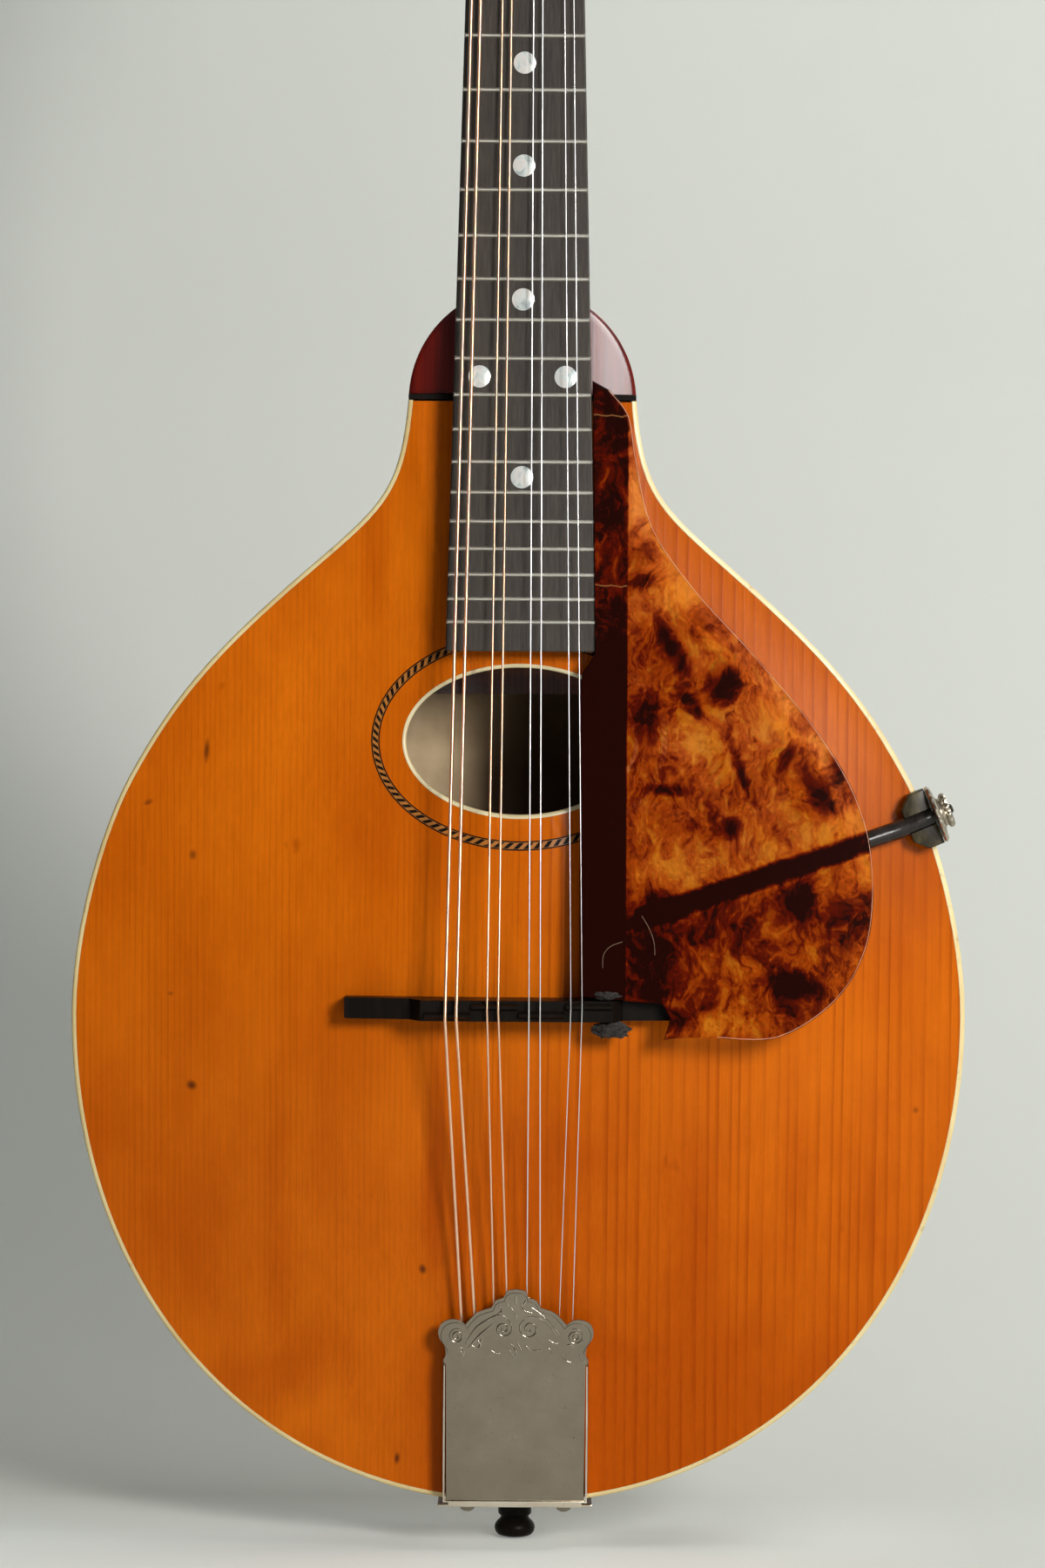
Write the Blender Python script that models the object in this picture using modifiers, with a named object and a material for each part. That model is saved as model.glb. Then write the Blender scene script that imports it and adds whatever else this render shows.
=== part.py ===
# An a-style mandolin, as an assembly of its real pieces.
# Metres. +X is the treble side, the front faces -Y, +Z runs up to the headstock.
# The origin is the middle of the end pin's flat tip.

import math

import bmesh
import bpy
import numpy as np
from mathutils import Matrix, Vector

# Driving dimensions

SCALE_LENGTH = 0.3524
BRIDGE_Z = 0.1595
NUT_Z = BRIDGE_Z + SCALE_LENGTH
GAP = 0.0003
OVERLAP = 0.0001

# Body outline, right half: bottom, widest, upper bout, waist, end of the top plate
BODY_HALF_WIDTH = 0.1300
BODY_BOTTOM_Z = 0.0130
WIDEST_Z = 0.1560
BOTTOM_HANDLE = 0.0760
LOWER_SIDE_HANDLE = 0.0825
UPPER_SIDE_HANDLE = 0.0246
UPPER_BOUT = (0.1131, 0.2255)
UPPER_BOUT_ANGLE = math.radians(118.6)
UPPER_BOUT_HANDLES = (0.0175, 0.0239)
WAIST = (0.0678, 0.2803)
WAIST_ANGLE = math.radians(138.4)
WAIST_HANDLES = (0.0309, 0.0347)
TOP_END_Z = 0.3344
TOP_END_ANGLE = math.radians(94.9)
TOP_END_HANDLE = 0.0292
SHOULDER_RADIUS = 0.0330
OUTLINE_STEPS = (11, 3, 4, 5)
SHOULDER_STEPS = 7

# Plates, rim and what is inside
EDGE_DEPTH = 0.0380
PLATE_THICKNESS = 0.0035
TOP_ARCH = 0.0130
BACK_ARCH = 0.0110
ARCH_POWER = 1.5
PLATE_RINGS = (0.93, 0.84, 0.72, 0.58, 0.42, 0.22)
SIDE_THICKNESS = 0.0022
BINDING_WIDTH = 0.0020
STRIP_WIDTH = 0.0014
LINING_WIDTH = 0.0045
LINING_HEIGHT = 0.0090
NECK_BLOCK_Z = 0.3120
NECK_BLOCK_LEAST_X = 0.0200
TAIL_BLOCK_HALF_WIDTH = 0.0280
TAIL_BLOCK_TOP_Z = 0.0370
TENON_HALF_WIDTH = 0.0090
TENON_DEPTH = 0.0310
TENON_BOTTOM_Z = 0.3460
TENON_TOP_RISE = 0.0060
PIN_BORE_START_Z = 0.0020
PIN_BORE_END_Z = 0.0530
TONE_BAR_Z = 0.2010
TONE_BAR_WIDTH = 0.0060
TONE_BAR_HALF_LENGTH = 0.0850
TONE_BAR_BACK_Y = -0.0140
TONE_BAR_TAPER = 0.0030

# Soundhole
SOUNDHOLE_Z = 0.2361
SOUNDHOLE_HALF_WIDTH = 0.0329
SOUNDHOLE_HALF_HEIGHT = 0.0212
SOUNDHOLE_BINDING = 0.0011
SOUNDHOLE_SIDES = 32

# Fingerboard, frets and nut
BOARD_END_Z = 0.2621
BOARD_END_Y = -0.0335
BOARD_PITCH = math.radians(4.2)
BOARD_THICKNESS = 0.0050
BOARD_HALF_WIDTH_AT_NUT = 0.01575
BOARD_HALF_WIDTH_AT_END = 0.02160
FRET_COUNT = 20
FRET_WIDTH = 0.0013
FRET_HEIGHT = 0.0007
NUT_THICKNESS = 0.0045
NUT_PROUD = 0.00064

# Neck
NECK_DEPTH_AT_NUT = 0.0150
NECK_DEPTH_AT_HEEL = 0.0175
HEEL_TOP_Z = 0.4050
HEEL_POWER = 2.6
HEEL_STEPS = 6
HEEL_LANDING = 0.45
NECK_ROOT_RISE = 0.0120
NECK_ROOT_SHARE = 0.98
TONGUE_END_Z = 0.2690
TONGUE_INSET = 0.0015
TONGUE_RISE = 0.0100
TONGUE_STEPS = 8
NECK_SIDES = 12

# Headstock, drawn in its own frame: x across, y up along it, z forward from its face
HEAD_TILT = math.radians(18.2)
HEAD_SET_BACK = 0.00386
HEAD_LENGTH = 0.1500
HEAD_HALF_WIDTH_AT_NUT = 0.0160
HEAD_HALF_WIDTH_LOW = 0.0290
HEAD_HALF_WIDTH_TOP = 0.0325
HEAD_FLARE_Y = 0.0330
HEAD_CORNER = 0.0080
HEAD_CROWN = 0.0070
HEAD_CORNER_TURN = math.radians(75)
VENEER_THICKNESS = 0.0015
HEAD_THICKNESS = 0.0135
VENEER_SEAT_LOW = (-0.0500, -0.0006)
VENEER_SEAT_HIGH = (0.0500, 0.2000, 0.0300)
BORE_REACH = 0.0300

# Tuners
POST_X = 0.0170
FIRST_POST_Y = 0.0420
POST_SPACING = 0.0230
POSTS_PER_SIDE = 4
POST_RADIUS = 0.0030
POST_WAIST_RADIUS = 0.0025
POST_HEIGHT = 0.0130
STRING_HEIGHT_ON_POST = 0.0080
POST_WAIST_HALF_LENGTH = 0.0010
POST_WAIST_SLOPE = 0.0010
GEAR_RADIUS = 0.0047
GEAR_THICKNESS = 0.0032
WORM_RADIUS = 0.0026
WORM_LENGTH = 0.0068
SHAFT_RADIUS = 0.0013
PLATE_METAL = 0.0012
TUNER_PLATE_HALF_WIDTH = 0.0070
TUNER_PLATE_MARGIN = 0.0090
LUG_OFFSET = 0.0052
LUG_THICKNESS = 0.0018
LUG_HALF_SIZE = 0.0027
BUTTON_START = 0.0180
BUTTON_LENGTH = 0.0120
BUTTON_WIDTH = 0.0145
BUTTON_THICKNESS = 0.0072
BUTTON_BORE_SHARE = 0.7
BUTTON_BORE_START = 0.0140

# Strings, one pair for each gauge, from the bass side to the treble side
STRING_RADII = (0.00050, 0.00033, 0.00020, 0.00014)
PAIR_PITCH = {"hook": 0.0090, "bridge": 0.01195, "nut": 0.0083}
PAIR_HALF_GAP = {"hook": 0.0020, "bridge": 0.0016, "nut": 0.00125}
PAIR_SHIFT = {"hook": 0.0006, "bridge": -0.0013, "nut": -0.0006}
POST_FOR_STRING = ("bass_1", "bass_2", "bass_3", "bass_4", "treble_4", "treble_3", "treble_2", "treble_1")

# Bridge
BRIDGE_HALF_LENGTH = 0.0500
BRIDGE_WIDTH = 0.0060
SADDLE_TOP_Y = -0.0460
SADDLE_HALF_LENGTH = 0.0270
SADDLE_HEIGHT = 0.0016
SADDLE_WIDTH = 0.0022
SADDLE_SHIFTS = (-0.0014, 0.0012, -0.0010, 0.0014)
SADDLE_ROOT = 0.0010
BRIDGE_FOOT_TOP_Y = -0.0365
BRIDGE_FOOT_DROP = 0.0012
BRIDGE_SLANTS = (0.0040, 0.0010, 0.0030)

# Pickguard, its strip and its arm
GUARD_TOP_Y = -0.0283
GUARD_TOP_Z = 0.3400
GUARD_SLOPE = math.radians(4.51)
GUARD_THICKNESS = 0.0016
STRIP_THICKNESS = 0.0050
STRIP_RIGHT_X = 0.0308
GUARD_FOOT_Z = 0.1634
GUARD_CORNER = (0.0250, 0.3373)
GUARD_EDGE = [(0.0306, 0.3300), (0.0330, 0.3170), (0.0377, 0.2980), (0.0498, 0.2803),
              (0.0664, 0.2623), (0.0845, 0.2409), (0.0961, 0.2217), (0.1011, 0.2029),
              (0.1000, 0.1800), (0.0911, 0.1634), (0.0747, 0.1525), (0.0570, 0.1521)]
GUARD_TIP = [(0.0493, 0.1527), (0.0416, 0.1515), (0.0440, 0.1578), (0.0416, 0.1621)]
GUARD_LEFT = [(0.0174, 0.1634), (0.0171, 0.2490), (0.0176, 0.2560)]
STRIP_RIGHT = [(0.0246, 0.3360), (0.0296, 0.3290), (STRIP_RIGHT_X, 0.3180)]
ARM_START_Z = 0.1853
ARM_LEAN = 0.36
ARM_THIN_RADIUS = 0.00165
ARM_THICK_RADIUS = 0.00270

# Rim clamp, drawn in a frame on the rim: x outward, y along the rim, z forward
CLAMP_Z = 0.2145
CLAMP_AXIS_FORWARD = 0.0240
JAW_REACH = 0.0060
JAW_HALF_LENGTH = 0.0084
JAW_FRONT = 0.0255
JAW_WALL = 0.0020
JAW_HOOK = 0.0030
JAW_CLEARANCE = 0.0009
JAW_WALL_SHARE = 0.78
JAW_TIP_SHARE = 0.6
JAW_CORNER_SHARE = 0.4
JAW_HOOK_SHARE = 0.8
ARM_ENTRY = 0.0030
GROOVE_REACH = (-0.0100, 0.0050)
THREAD_RADIUS = 0.0013
THREAD_PROUD = 0.0008
NUT_FLANGE_RADIUS = 0.0086
NUT_NECK_RADIUS = 0.0042
NUT_OUTER_RADIUS = 0.0052
NUT_LENGTH = 0.0046
NUT_STEPS = (0.72, 0.62, 0.40, 0.28)

# Tailpiece
BASE_HALF_WIDTH = 0.0195
BASE_METAL = 0.0010
BASE_BOTTOM_Y = -0.0196
BASE_SLOPE = 0.1087
BASE_TOP_Z = 0.0600
TAIL_WALL_HALF_WIDTH = 0.0230
TAIL_WALL_FRONT_Y = -0.0180
TAIL_WALL_BACK_Y = 0.0095
HOOK_Z = 0.0520
HOOK_Y = -0.0262
HOOK_PROUD = 0.0012
HOOK_RADIUS = 0.0009
COVER_HALF_WIDTH = 0.0207
COVER_METAL = 0.0008
COVER_BOTTOM_Z = 0.0152
COVER_BOTTOM_Y = -0.0246
COVER_TILT = math.radians(7.5)
COVER_WALL_TOP = 0.0415
COVER_WALL_DEPTH = 0.0058
COVER_EDGE = [(0.0207, 0.0421), (0.0202, 0.0436), (0.0206, 0.0461), (0.0221, 0.0486),
              (0.0224, 0.0510), (0.0211, 0.0534), (0.0181, 0.0543), (0.0158, 0.0536),
              (0.0146, 0.0525)]
COVER_SHOULDER = [(0.0134, 0.0542), (0.0112, 0.0563), (0.0085, 0.0574), (0.0070, 0.0578)]
COVER_CREST = [(0.0062, 0.0596), (0.0050, 0.0604), (0.0036, 0.0607), (0.0030, 0.0622),
               (0.0017, 0.0631), (0.0000, 0.0633)]

# End pin
PIN_TIP_RADIUS = 0.0035
PIN_BULB_RADIUS = 0.0058
PIN_BULB_Z = (0.0008, 0.0026, 0.0042, 0.0060)
PIN_BULB_SHARES = (0.88, 0.82)
PIN_COLLAR_RADIUS = 0.0049
PIN_COLLAR_HEIGHT = 0.0026
PIN_GROOVE_HEIGHT = 0.0010
PIN_SHANK_RADIUS = 0.0040
PIN_TAPER = 0.85
PIN_LENGTH = 0.0330

MID = EDGE_DEPTH / 2
RIM_Y = MID - PLATE_THICKNESS - GAP
BODY_TURN = Matrix.Rotation(math.radians(90), 4, "X")
SIDE_TURN = Matrix(((0, 0, 1, 0), (1, 0, 0, 0), (0, 1, 0, 0), (0, 0, 0, 1)))

# Scene and materials

for old in list(bpy.data.objects):
    bpy.data.objects.remove(old, do_unlink=True)

PARTS = bpy.data.collections.new("a_style_mandolin")
CUTTERS = bpy.data.collections.new("cutters")
bpy.context.scene.collection.children.link(PARTS)
bpy.context.scene.collection.children.link(CUTTERS)

FINISHES = {
    "spruce": ((0.60, 0.20, 0.03), 0.35, 0.0),
    "maple_back": ((0.22, 0.05, 0.02), 0.35, 0.0),
    "neck_wood": ((0.14, 0.02, 0.01), 0.30, 0.0),
    "inner_wood": ((0.62, 0.42, 0.22), 0.70, 0.0),
    "ebony": ((0.015, 0.013, 0.012), 0.45, 0.0),
    "ivoroid": ((0.80, 0.72, 0.50), 0.35, 0.0),
    "bone": ((0.80, 0.75, 0.60), 0.40, 0.0),
    "nickel": ((0.42, 0.39, 0.34), 0.35, 1.0),
    "brass": ((0.60, 0.45, 0.20), 0.35, 1.0),
    "tortoiseshell": ((0.20, 0.03, 0.005), 0.15, 0.0),
    "hard_rubber": ((0.02, 0.017, 0.015), 0.40, 0.0),
    "wound_string": ((0.65, 0.38, 0.20), 0.35, 1.0),
    "plain_string": ((0.70, 0.70, 0.72), 0.25, 1.0),
}


def finish(name):
    """One Principled material for each finish."""
    if name in bpy.data.materials:
        return bpy.data.materials[name]
    color, roughness, metallic = FINISHES[name]
    material = bpy.data.materials.new(name)
    material.use_nodes = True
    shader = material.node_tree.nodes["Principled BSDF"]
    shader.inputs["Base Color"].default_value = (*color, 1.0)
    shader.inputs["Roughness"].default_value = roughness
    shader.inputs["Metallic"].default_value = metallic
    return material


# Shape helpers


def place(obj, material=None):
    """Put a finished piece in the parts collection, or a cutter in the other."""
    for home in list(obj.users_collection):
        home.objects.unlink(obj)
    if material:
        PARTS.objects.link(obj)
        obj.data.materials.clear()
        obj.data.materials.append(finish(material))
    else:
        CUTTERS.objects.link(obj)
        obj.hide_render = True
        obj.display_type = "WIRE"
    return obj


def from_bmesh(name, mesh, frame=None):
    """A mesh object from a bmesh, with its normals facing out."""
    bmesh.ops.recalc_face_normals(mesh, faces=mesh.faces)
    data = bpy.data.meshes.new(name)
    mesh.to_mesh(data)
    mesh.free()
    obj = bpy.data.objects.new(name, data)
    obj.matrix_world = frame or Matrix()
    return obj


def curve_to_mesh(curve, frame):
    """The curve's mesh with its caps welded on; the curve is removed."""
    CUTTERS.objects.link(curve)
    bpy.context.view_layer.update()
    graph = bpy.context.evaluated_depsgraph_get()
    data = bpy.data.meshes.new_from_object(curve.evaluated_get(graph))
    name = curve.name
    bpy.data.objects.remove(curve, do_unlink=True)
    mesh = bmesh.new()
    mesh.from_mesh(data)
    bpy.data.meshes.remove(data)
    bmesh.ops.remove_doubles(mesh, verts=mesh.verts, dist=1e-6)
    return from_bmesh(name, mesh, frame)


def slab(name, rings, low, high, frame=BODY_TURN):
    """A flat outline, with holes if it has more rings, from low to high along its z."""
    data = bpy.data.curves.new(name, "CURVE")
    data.dimensions = "2D"
    data.fill_mode = "BOTH"
    data.extrude = (high - low) / 2
    for ring in rings:
        spline = data.splines.new("POLY")
        spline.points.add(len(ring) - 1)
        for point, (x, y) in zip(spline.points, ring):
            point.co = (x, y, 0, 1)
        spline.use_cyclic_u = True
    curve = bpy.data.objects.new(name, data)
    return curve_to_mesh(curve, frame @ Matrix.Translation((0, 0, (low + high) / 2)))


def box(name, low, high, frame=None):
    """A box between two corners."""
    low = Vector(low)
    high = Vector(high)
    mesh = bmesh.new()
    size = Matrix.Diagonal((*(high - low), 1))
    bmesh.ops.create_cube(mesh, size=1, matrix=Matrix.Translation((low + high) / 2) @ size)
    return from_bmesh(name, mesh, frame)


def rod(name, radius, start, end, sides=16, frame=None):
    """A plain cylinder between two points."""
    start = Vector(start)
    end = Vector(end)
    turn = (end - start).to_track_quat("Z", "Y").to_matrix().to_4x4()
    mesh = bmesh.new()
    bmesh.ops.create_cone(
        mesh, cap_ends=True, segments=sides, radius1=radius, radius2=radius,
        depth=(end - start).length, matrix=Matrix.Translation((start + end) / 2) @ turn,
    )
    return from_bmesh(name, mesh, frame)


def turned(name, profile, steps, frame):
    """A profile of (radius, height) points, top to bottom, turned about its z."""
    mesh = bmesh.new()
    verts = [mesh.verts.new((radius, 0, height)) for radius, height in profile]
    for first, second in zip(verts, verts[1:]):
        mesh.edges.new((first, second))
    if profile[0][0] > 0:
        mesh.edges.new((verts[-1], verts[0]))
    data = bpy.data.meshes.new(name)
    mesh.to_mesh(data)
    mesh.free()
    obj = bpy.data.objects.new(name, data)
    obj.matrix_world = frame
    screw = obj.modifiers.new("turn", "SCREW")
    screw.steps = steps
    screw.render_steps = steps
    screw.use_merge_vertices = True
    screw.merge_threshold = 1e-5
    return obj


def tube(name, points, radii, resolution):
    """A round bar along a polyline, with closed ends."""
    data = bpy.data.curves.new(name, "CURVE")
    data.dimensions = "3D"
    data.bevel_depth = 1.0
    data.bevel_resolution = resolution
    data.use_fill_caps = True
    spline = data.splines.new("POLY")
    spline.points.add(len(points) - 1)
    for point, place_at, radius in zip(spline.points, points, radii):
        point.co = (*place_at, 1)
        point.radius = radius
    return curve_to_mesh(bpy.data.objects.new(name, data), Matrix())


def loft(name, sections, frame=None):
    """A solid through closed rings of equal count, capped at both ends."""
    mesh = bmesh.new()
    rings = [[mesh.verts.new(point) for point in section] for section in sections]
    for ring, after in zip(rings, rings[1:]):
        for i in range(len(ring)):
            k = (i + 1) % len(ring)
            mesh.faces.new((ring[i], ring[k], after[k], after[i]))
    mesh.faces.new(rings[0])
    mesh.faces.new(rings[-1])
    return from_bmesh(name, mesh, frame)


def relief(name, ring, levels, center, front, back):
    """A plate inside a ring about a centre, between two height functions of x and z."""
    mesh = bmesh.new()
    sheets = []
    for height in (front, back):
        rows = []
        for level in (1.0, *levels):
            row = []
            for x, z in ring:
                px = center[0] + level * (x - center[0])
                pz = center[1] + level * (z - center[1])
                row.append(mesh.verts.new((px, height(px, pz), pz)))
            rows.append(row)
        middle = mesh.verts.new((center[0], height(*center), center[1]))
        sheets.append(rows)
        for row, after in zip(rows, rows[1:]):
            for i in range(len(row)):
                k = (i + 1) % len(row)
                mesh.faces.new((row[i], row[k], after[k], after[i]))
        for i in range(len(ring)):
            mesh.faces.new((rows[-1][i], rows[-1][(i + 1) % len(ring)], middle))
    for i in range(len(ring)):
        k = (i + 1) % len(ring)
        mesh.faces.new((sheets[0][0][i], sheets[0][0][k], sheets[1][0][k], sheets[1][0][i]))
    return from_bmesh(name, mesh)


def strake(name, outer, inner, front, back):
    """A closed ring between two outlines, its faces on two height functions."""
    sections = []
    for (ax, az), (bx, bz) in zip(outer, inner):
        sections.append([(ax, front(ax, az), az), (bx, front(bx, bz), bz),
                         (bx, back(bx, bz), bz), (ax, back(ax, az), az)])
    mesh = bmesh.new()
    rings = [[mesh.verts.new(point) for point in section] for section in sections]
    for ring, after in zip(rings, rings[1:] + rings[:1]):
        for i in range(4):
            k = (i + 1) % 4
            mesh.faces.new((ring[i], ring[k], after[k], after[i]))
    return from_bmesh(name, mesh)


def combine(target, other, operation):
    """Join another solid to the target, or cut it away."""
    place(other)
    change = target.modifiers.new(operation.lower(), "BOOLEAN")
    change.operation = operation
    change.object = other
    return target


def gather(name, objects):
    """Several separate solids as one helper mesh."""
    mesh = bmesh.new()
    for obj in objects:
        mesh.from_mesh(obj.data)
        fresh = [vert for vert in mesh.verts if not vert.tag]
        bmesh.ops.transform(mesh, matrix=obj.matrix_world, verts=fresh)
        for vert in fresh:
            vert.tag = True
        bpy.data.objects.remove(obj, do_unlink=True)
    return from_bmesh(name, mesh)


# Outline of the body


def bezier(start, start_handle, end_handle, end, steps):
    """Points of a cubic curve after its start."""
    points = []
    for step in range(1, steps + 1):
        t = step / steps
        s = 1 - t
        points.append(tuple(
            s ** 3 * a + 3 * s * s * t * b + 3 * s * t * t * c + t ** 3 * d
            for a, b, c, d in zip(start, start_handle, end_handle, end)
        ))
    return points


def along(point, angle, distance):
    return (point[0] + distance * math.cos(angle), point[1] + distance * math.sin(angle))


def half_outline():
    """The right half of the top's outline, from the bottom to the top plate's end."""
    bottom = (0.0, BODY_BOTTOM_Z)
    side = (BODY_HALF_WIDTH, WIDEST_Z)
    end = (SHOULDER_RADIUS, TOP_END_Z)
    points = [bottom]
    points += bezier(bottom, (BOTTOM_HANDLE, BODY_BOTTOM_Z),
                     (BODY_HALF_WIDTH, WIDEST_Z - LOWER_SIDE_HANDLE), side, OUTLINE_STEPS[0])
    points += bezier(side, (BODY_HALF_WIDTH, WIDEST_Z + UPPER_SIDE_HANDLE),
                     along(UPPER_BOUT, UPPER_BOUT_ANGLE, -UPPER_BOUT_HANDLES[0]),
                     UPPER_BOUT, OUTLINE_STEPS[1])
    points += bezier(UPPER_BOUT, along(UPPER_BOUT, UPPER_BOUT_ANGLE, UPPER_BOUT_HANDLES[1]),
                     along(WAIST, WAIST_ANGLE, -WAIST_HANDLES[0]), WAIST, OUTLINE_STEPS[2])
    points += bezier(WAIST, along(WAIST, WAIST_ANGLE, WAIST_HANDLES[1]),
                     along(end, TOP_END_ANGLE, -TOP_END_HANDLE), end, OUTLINE_STEPS[3])
    return points


def inset(path, distance):
    """The half outline moved inward; its first point stays on the middle plane."""
    moved = []
    for i, (x, z) in enumerate(path):
        before = path[max(i - 1, 0)]
        after = path[min(i + 1, len(path) - 1)]
        dx, dz = after[0] - before[0], after[1] - before[1]
        if i == 0:
            dx, dz = 1.0, 0.0
        length = math.hypot(dx, dz)
        moved.append((x - distance * dz / length, z + distance * dx / length))
    moved[-1] = (path[-1][0] - distance, TOP_END_Z)
    return moved


def mirrored(half):
    """A closed ring from a half that starts on the middle plane."""
    return half + [(-x, z) for x, z in reversed(half[1:])]


def shoulder(distance):
    """The half circle of the shoulders, right to left, without its ends."""
    radius = SHOULDER_RADIUS - distance
    turns = range(1, 2 * SHOULDER_STEPS)
    return [along((0.0, TOP_END_Z), math.pi * i / (2 * SHOULDER_STEPS), radius) for i in turns]


def body_ring(distance):
    """The whole body's outline, shoulders included."""
    half = inset(OUTLINE, distance)
    return half + shoulder(distance) + [(-x, z) for x, z in reversed(half[1:])]


def part_of_path(path, start_x, end_z):
    """The stretch of a half path from x = start_x up to z = end_z."""
    kept = []
    for (ax, az), (bx, bz) in zip(path, path[1:]):
        if ax < start_x <= bx and not kept:
            t = (start_x - ax) / (bx - ax)
            kept.append((start_x, az + t * (bz - az)))
        if kept and az < end_z <= bz:
            t = (end_z - az) / (bz - az)
            kept.append((ax + t * (bx - ax), end_z))
            return kept
        if kept:
            kept.append((bx, bz))
    return kept


OUTLINE = half_outline()
CENTER = (0.0, WIDEST_Z)


def reach_table(ring):
    """Angle from straight up and radius of each outline point about the centre."""
    pairs = sorted((math.atan2(x - CENTER[0], z - CENTER[1]), math.hypot(x - CENTER[0], z - CENTER[1]))
                   for x, z in ring)
    angles = np.array([angle for angle, _ in pairs])
    radii = np.array([radius for _, radius in pairs])
    return angles, radii


def top_outline(distance, end_gap):
    """The top plate's ring: the outline below its straight end."""
    half = inset(OUTLINE, distance)
    half[-1] = (half[-1][0], TOP_END_Z - end_gap)
    across = [(half[-1][0] * share, TOP_END_Z - end_gap) for share in (0.5, 0.0, -0.5)]
    return half + across + [(-x, z) for x, z in reversed(half[1:])]


TOP_REACH = reach_table(top_outline(0, 0))
BACK_REACH = reach_table(body_ring(0))


def arch(x, z, reach, height):
    """Height of the carved arch over the plate's edge, at a point of the plan."""
    distance = math.hypot(x - CENTER[0], z - CENTER[1])
    angle = math.atan2(x - CENTER[0], z - CENTER[1])
    edge = float(np.interp(angle, *reach, period=2 * math.pi))
    share = min(distance / edge, 1.0)
    return height * (1 - share ** 2) ** ARCH_POWER


def top_front(x, z):
    return -MID - arch(x, z, TOP_REACH, TOP_ARCH)


def top_inside(x, z):
    return top_front(x, z) + PLATE_THICKNESS


def back_outside(x, z):
    return MID + arch(x, z, BACK_REACH, BACK_ARCH)


def back_inside(x, z):
    return back_outside(x, z) - PLATE_THICKNESS


def board_front(z):
    return BOARD_END_Y + (z - BOARD_END_Z) * math.tan(BOARD_PITCH)


def nut_top():
    """Where the strings lie in the nut's slots, just proud of the board."""
    return board_front(NUT_Z) - NUT_PROUD


def board_half_width(z):
    share = (NUT_Z - z) / (NUT_Z - BOARD_END_Z)
    return BOARD_HALF_WIDTH_AT_NUT + share * (BOARD_HALF_WIDTH_AT_END - BOARD_HALF_WIDTH_AT_NUT)


def guard_front(z):
    return GUARD_TOP_Y + (z - GUARD_TOP_Z) * math.tan(GUARD_SLOPE)


# Body


def ellipse(half_width, half_height):
    turns = [2 * math.pi * i / SOUNDHOLE_SIDES for i in range(SOUNDHOLE_SIDES)]
    return [(half_width * math.cos(a), SOUNDHOLE_Z + half_height * math.sin(a)) for a in turns]


def build_top():
    plate = relief("top_plate", top_outline(BINDING_WIDTH + GAP, GAP), PLATE_RINGS, CENTER,
                   top_front, top_inside)
    hole = SOUNDHOLE_BINDING + GAP
    ring = ellipse(SOUNDHOLE_HALF_WIDTH + hole, SOUNDHOLE_HALF_HEIGHT + hole)
    cutter = slab("soundhole_cutter", [ring], MID - PLATE_THICKNESS, MID + 2 * TOP_ARCH)
    place(combine(plate, cutter, "DIFFERENCE"), "spruce")

    outer = ellipse(SOUNDHOLE_HALF_WIDTH + SOUNDHOLE_BINDING,
                    SOUNDHOLE_HALF_HEIGHT + SOUNDHOLE_BINDING)
    inner = ellipse(SOUNDHOLE_HALF_WIDTH, SOUNDHOLE_HALF_HEIGHT)
    place(strake("soundhole_binding", outer, inner, top_front, top_inside), "ivoroid")

    half = inset(OUTLINE, 0)
    inside = inset(OUTLINE, BINDING_WIDTH)
    outer = [(-x, z) for x, z in reversed(half[1:])] + half
    inner = [(-x, z) for x, z in reversed(inside[1:])] + inside
    ring = outer + list(reversed(inner))
    low = MID - PLATE_THICKNESS
    place(slab("top_binding", [ring], low, MID), "ivoroid")

    strip_z = TOP_END_Z + GAP
    strip_half = math.sqrt(SHOULDER_RADIUS ** 2 - (GAP + STRIP_WIDTH) ** 2)
    place(box("shoulder_strip", (-strip_half, -MID, strip_z),
              (strip_half, -low, strip_z + STRIP_WIDTH)), "ebony")


def build_back():
    place(relief("back_plate", body_ring(0), PLATE_RINGS, CENTER, back_outside, back_inside),
          "maple_back")


def pin_bore(name):
    """A cutter for the end pin's shank, up through rim and tail block."""
    return rod(name, PIN_SHANK_RADIUS + GAP, (0, 0, PIN_BORE_START_Z), (0, 0, PIN_BORE_END_Z), 16)


def tenon_box(name, clearance):
    """The neck's tenon, or with a clearance the slot that takes it."""
    half = TENON_HALF_WIDTH + clearance
    back = -MID + TENON_DEPTH + clearance
    front = -MID - 2 * GAP - 10 * clearance
    return box(name, (-half, front, TENON_BOTTOM_Z - clearance),
               (half, back, TOP_END_Z + SHOULDER_RADIUS + TENON_TOP_RISE))


def build_rim():
    rim = slab("rim", [body_ring(0), body_ring(SIDE_THICKNESS)], -RIM_Y, RIM_Y)
    combine(rim, tenon_box("rim_slot", GAP), "DIFFERENCE")
    combine(rim, pin_bore("rim_bore"), "DIFFERENCE")
    place(rim, "maple_back")


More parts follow.
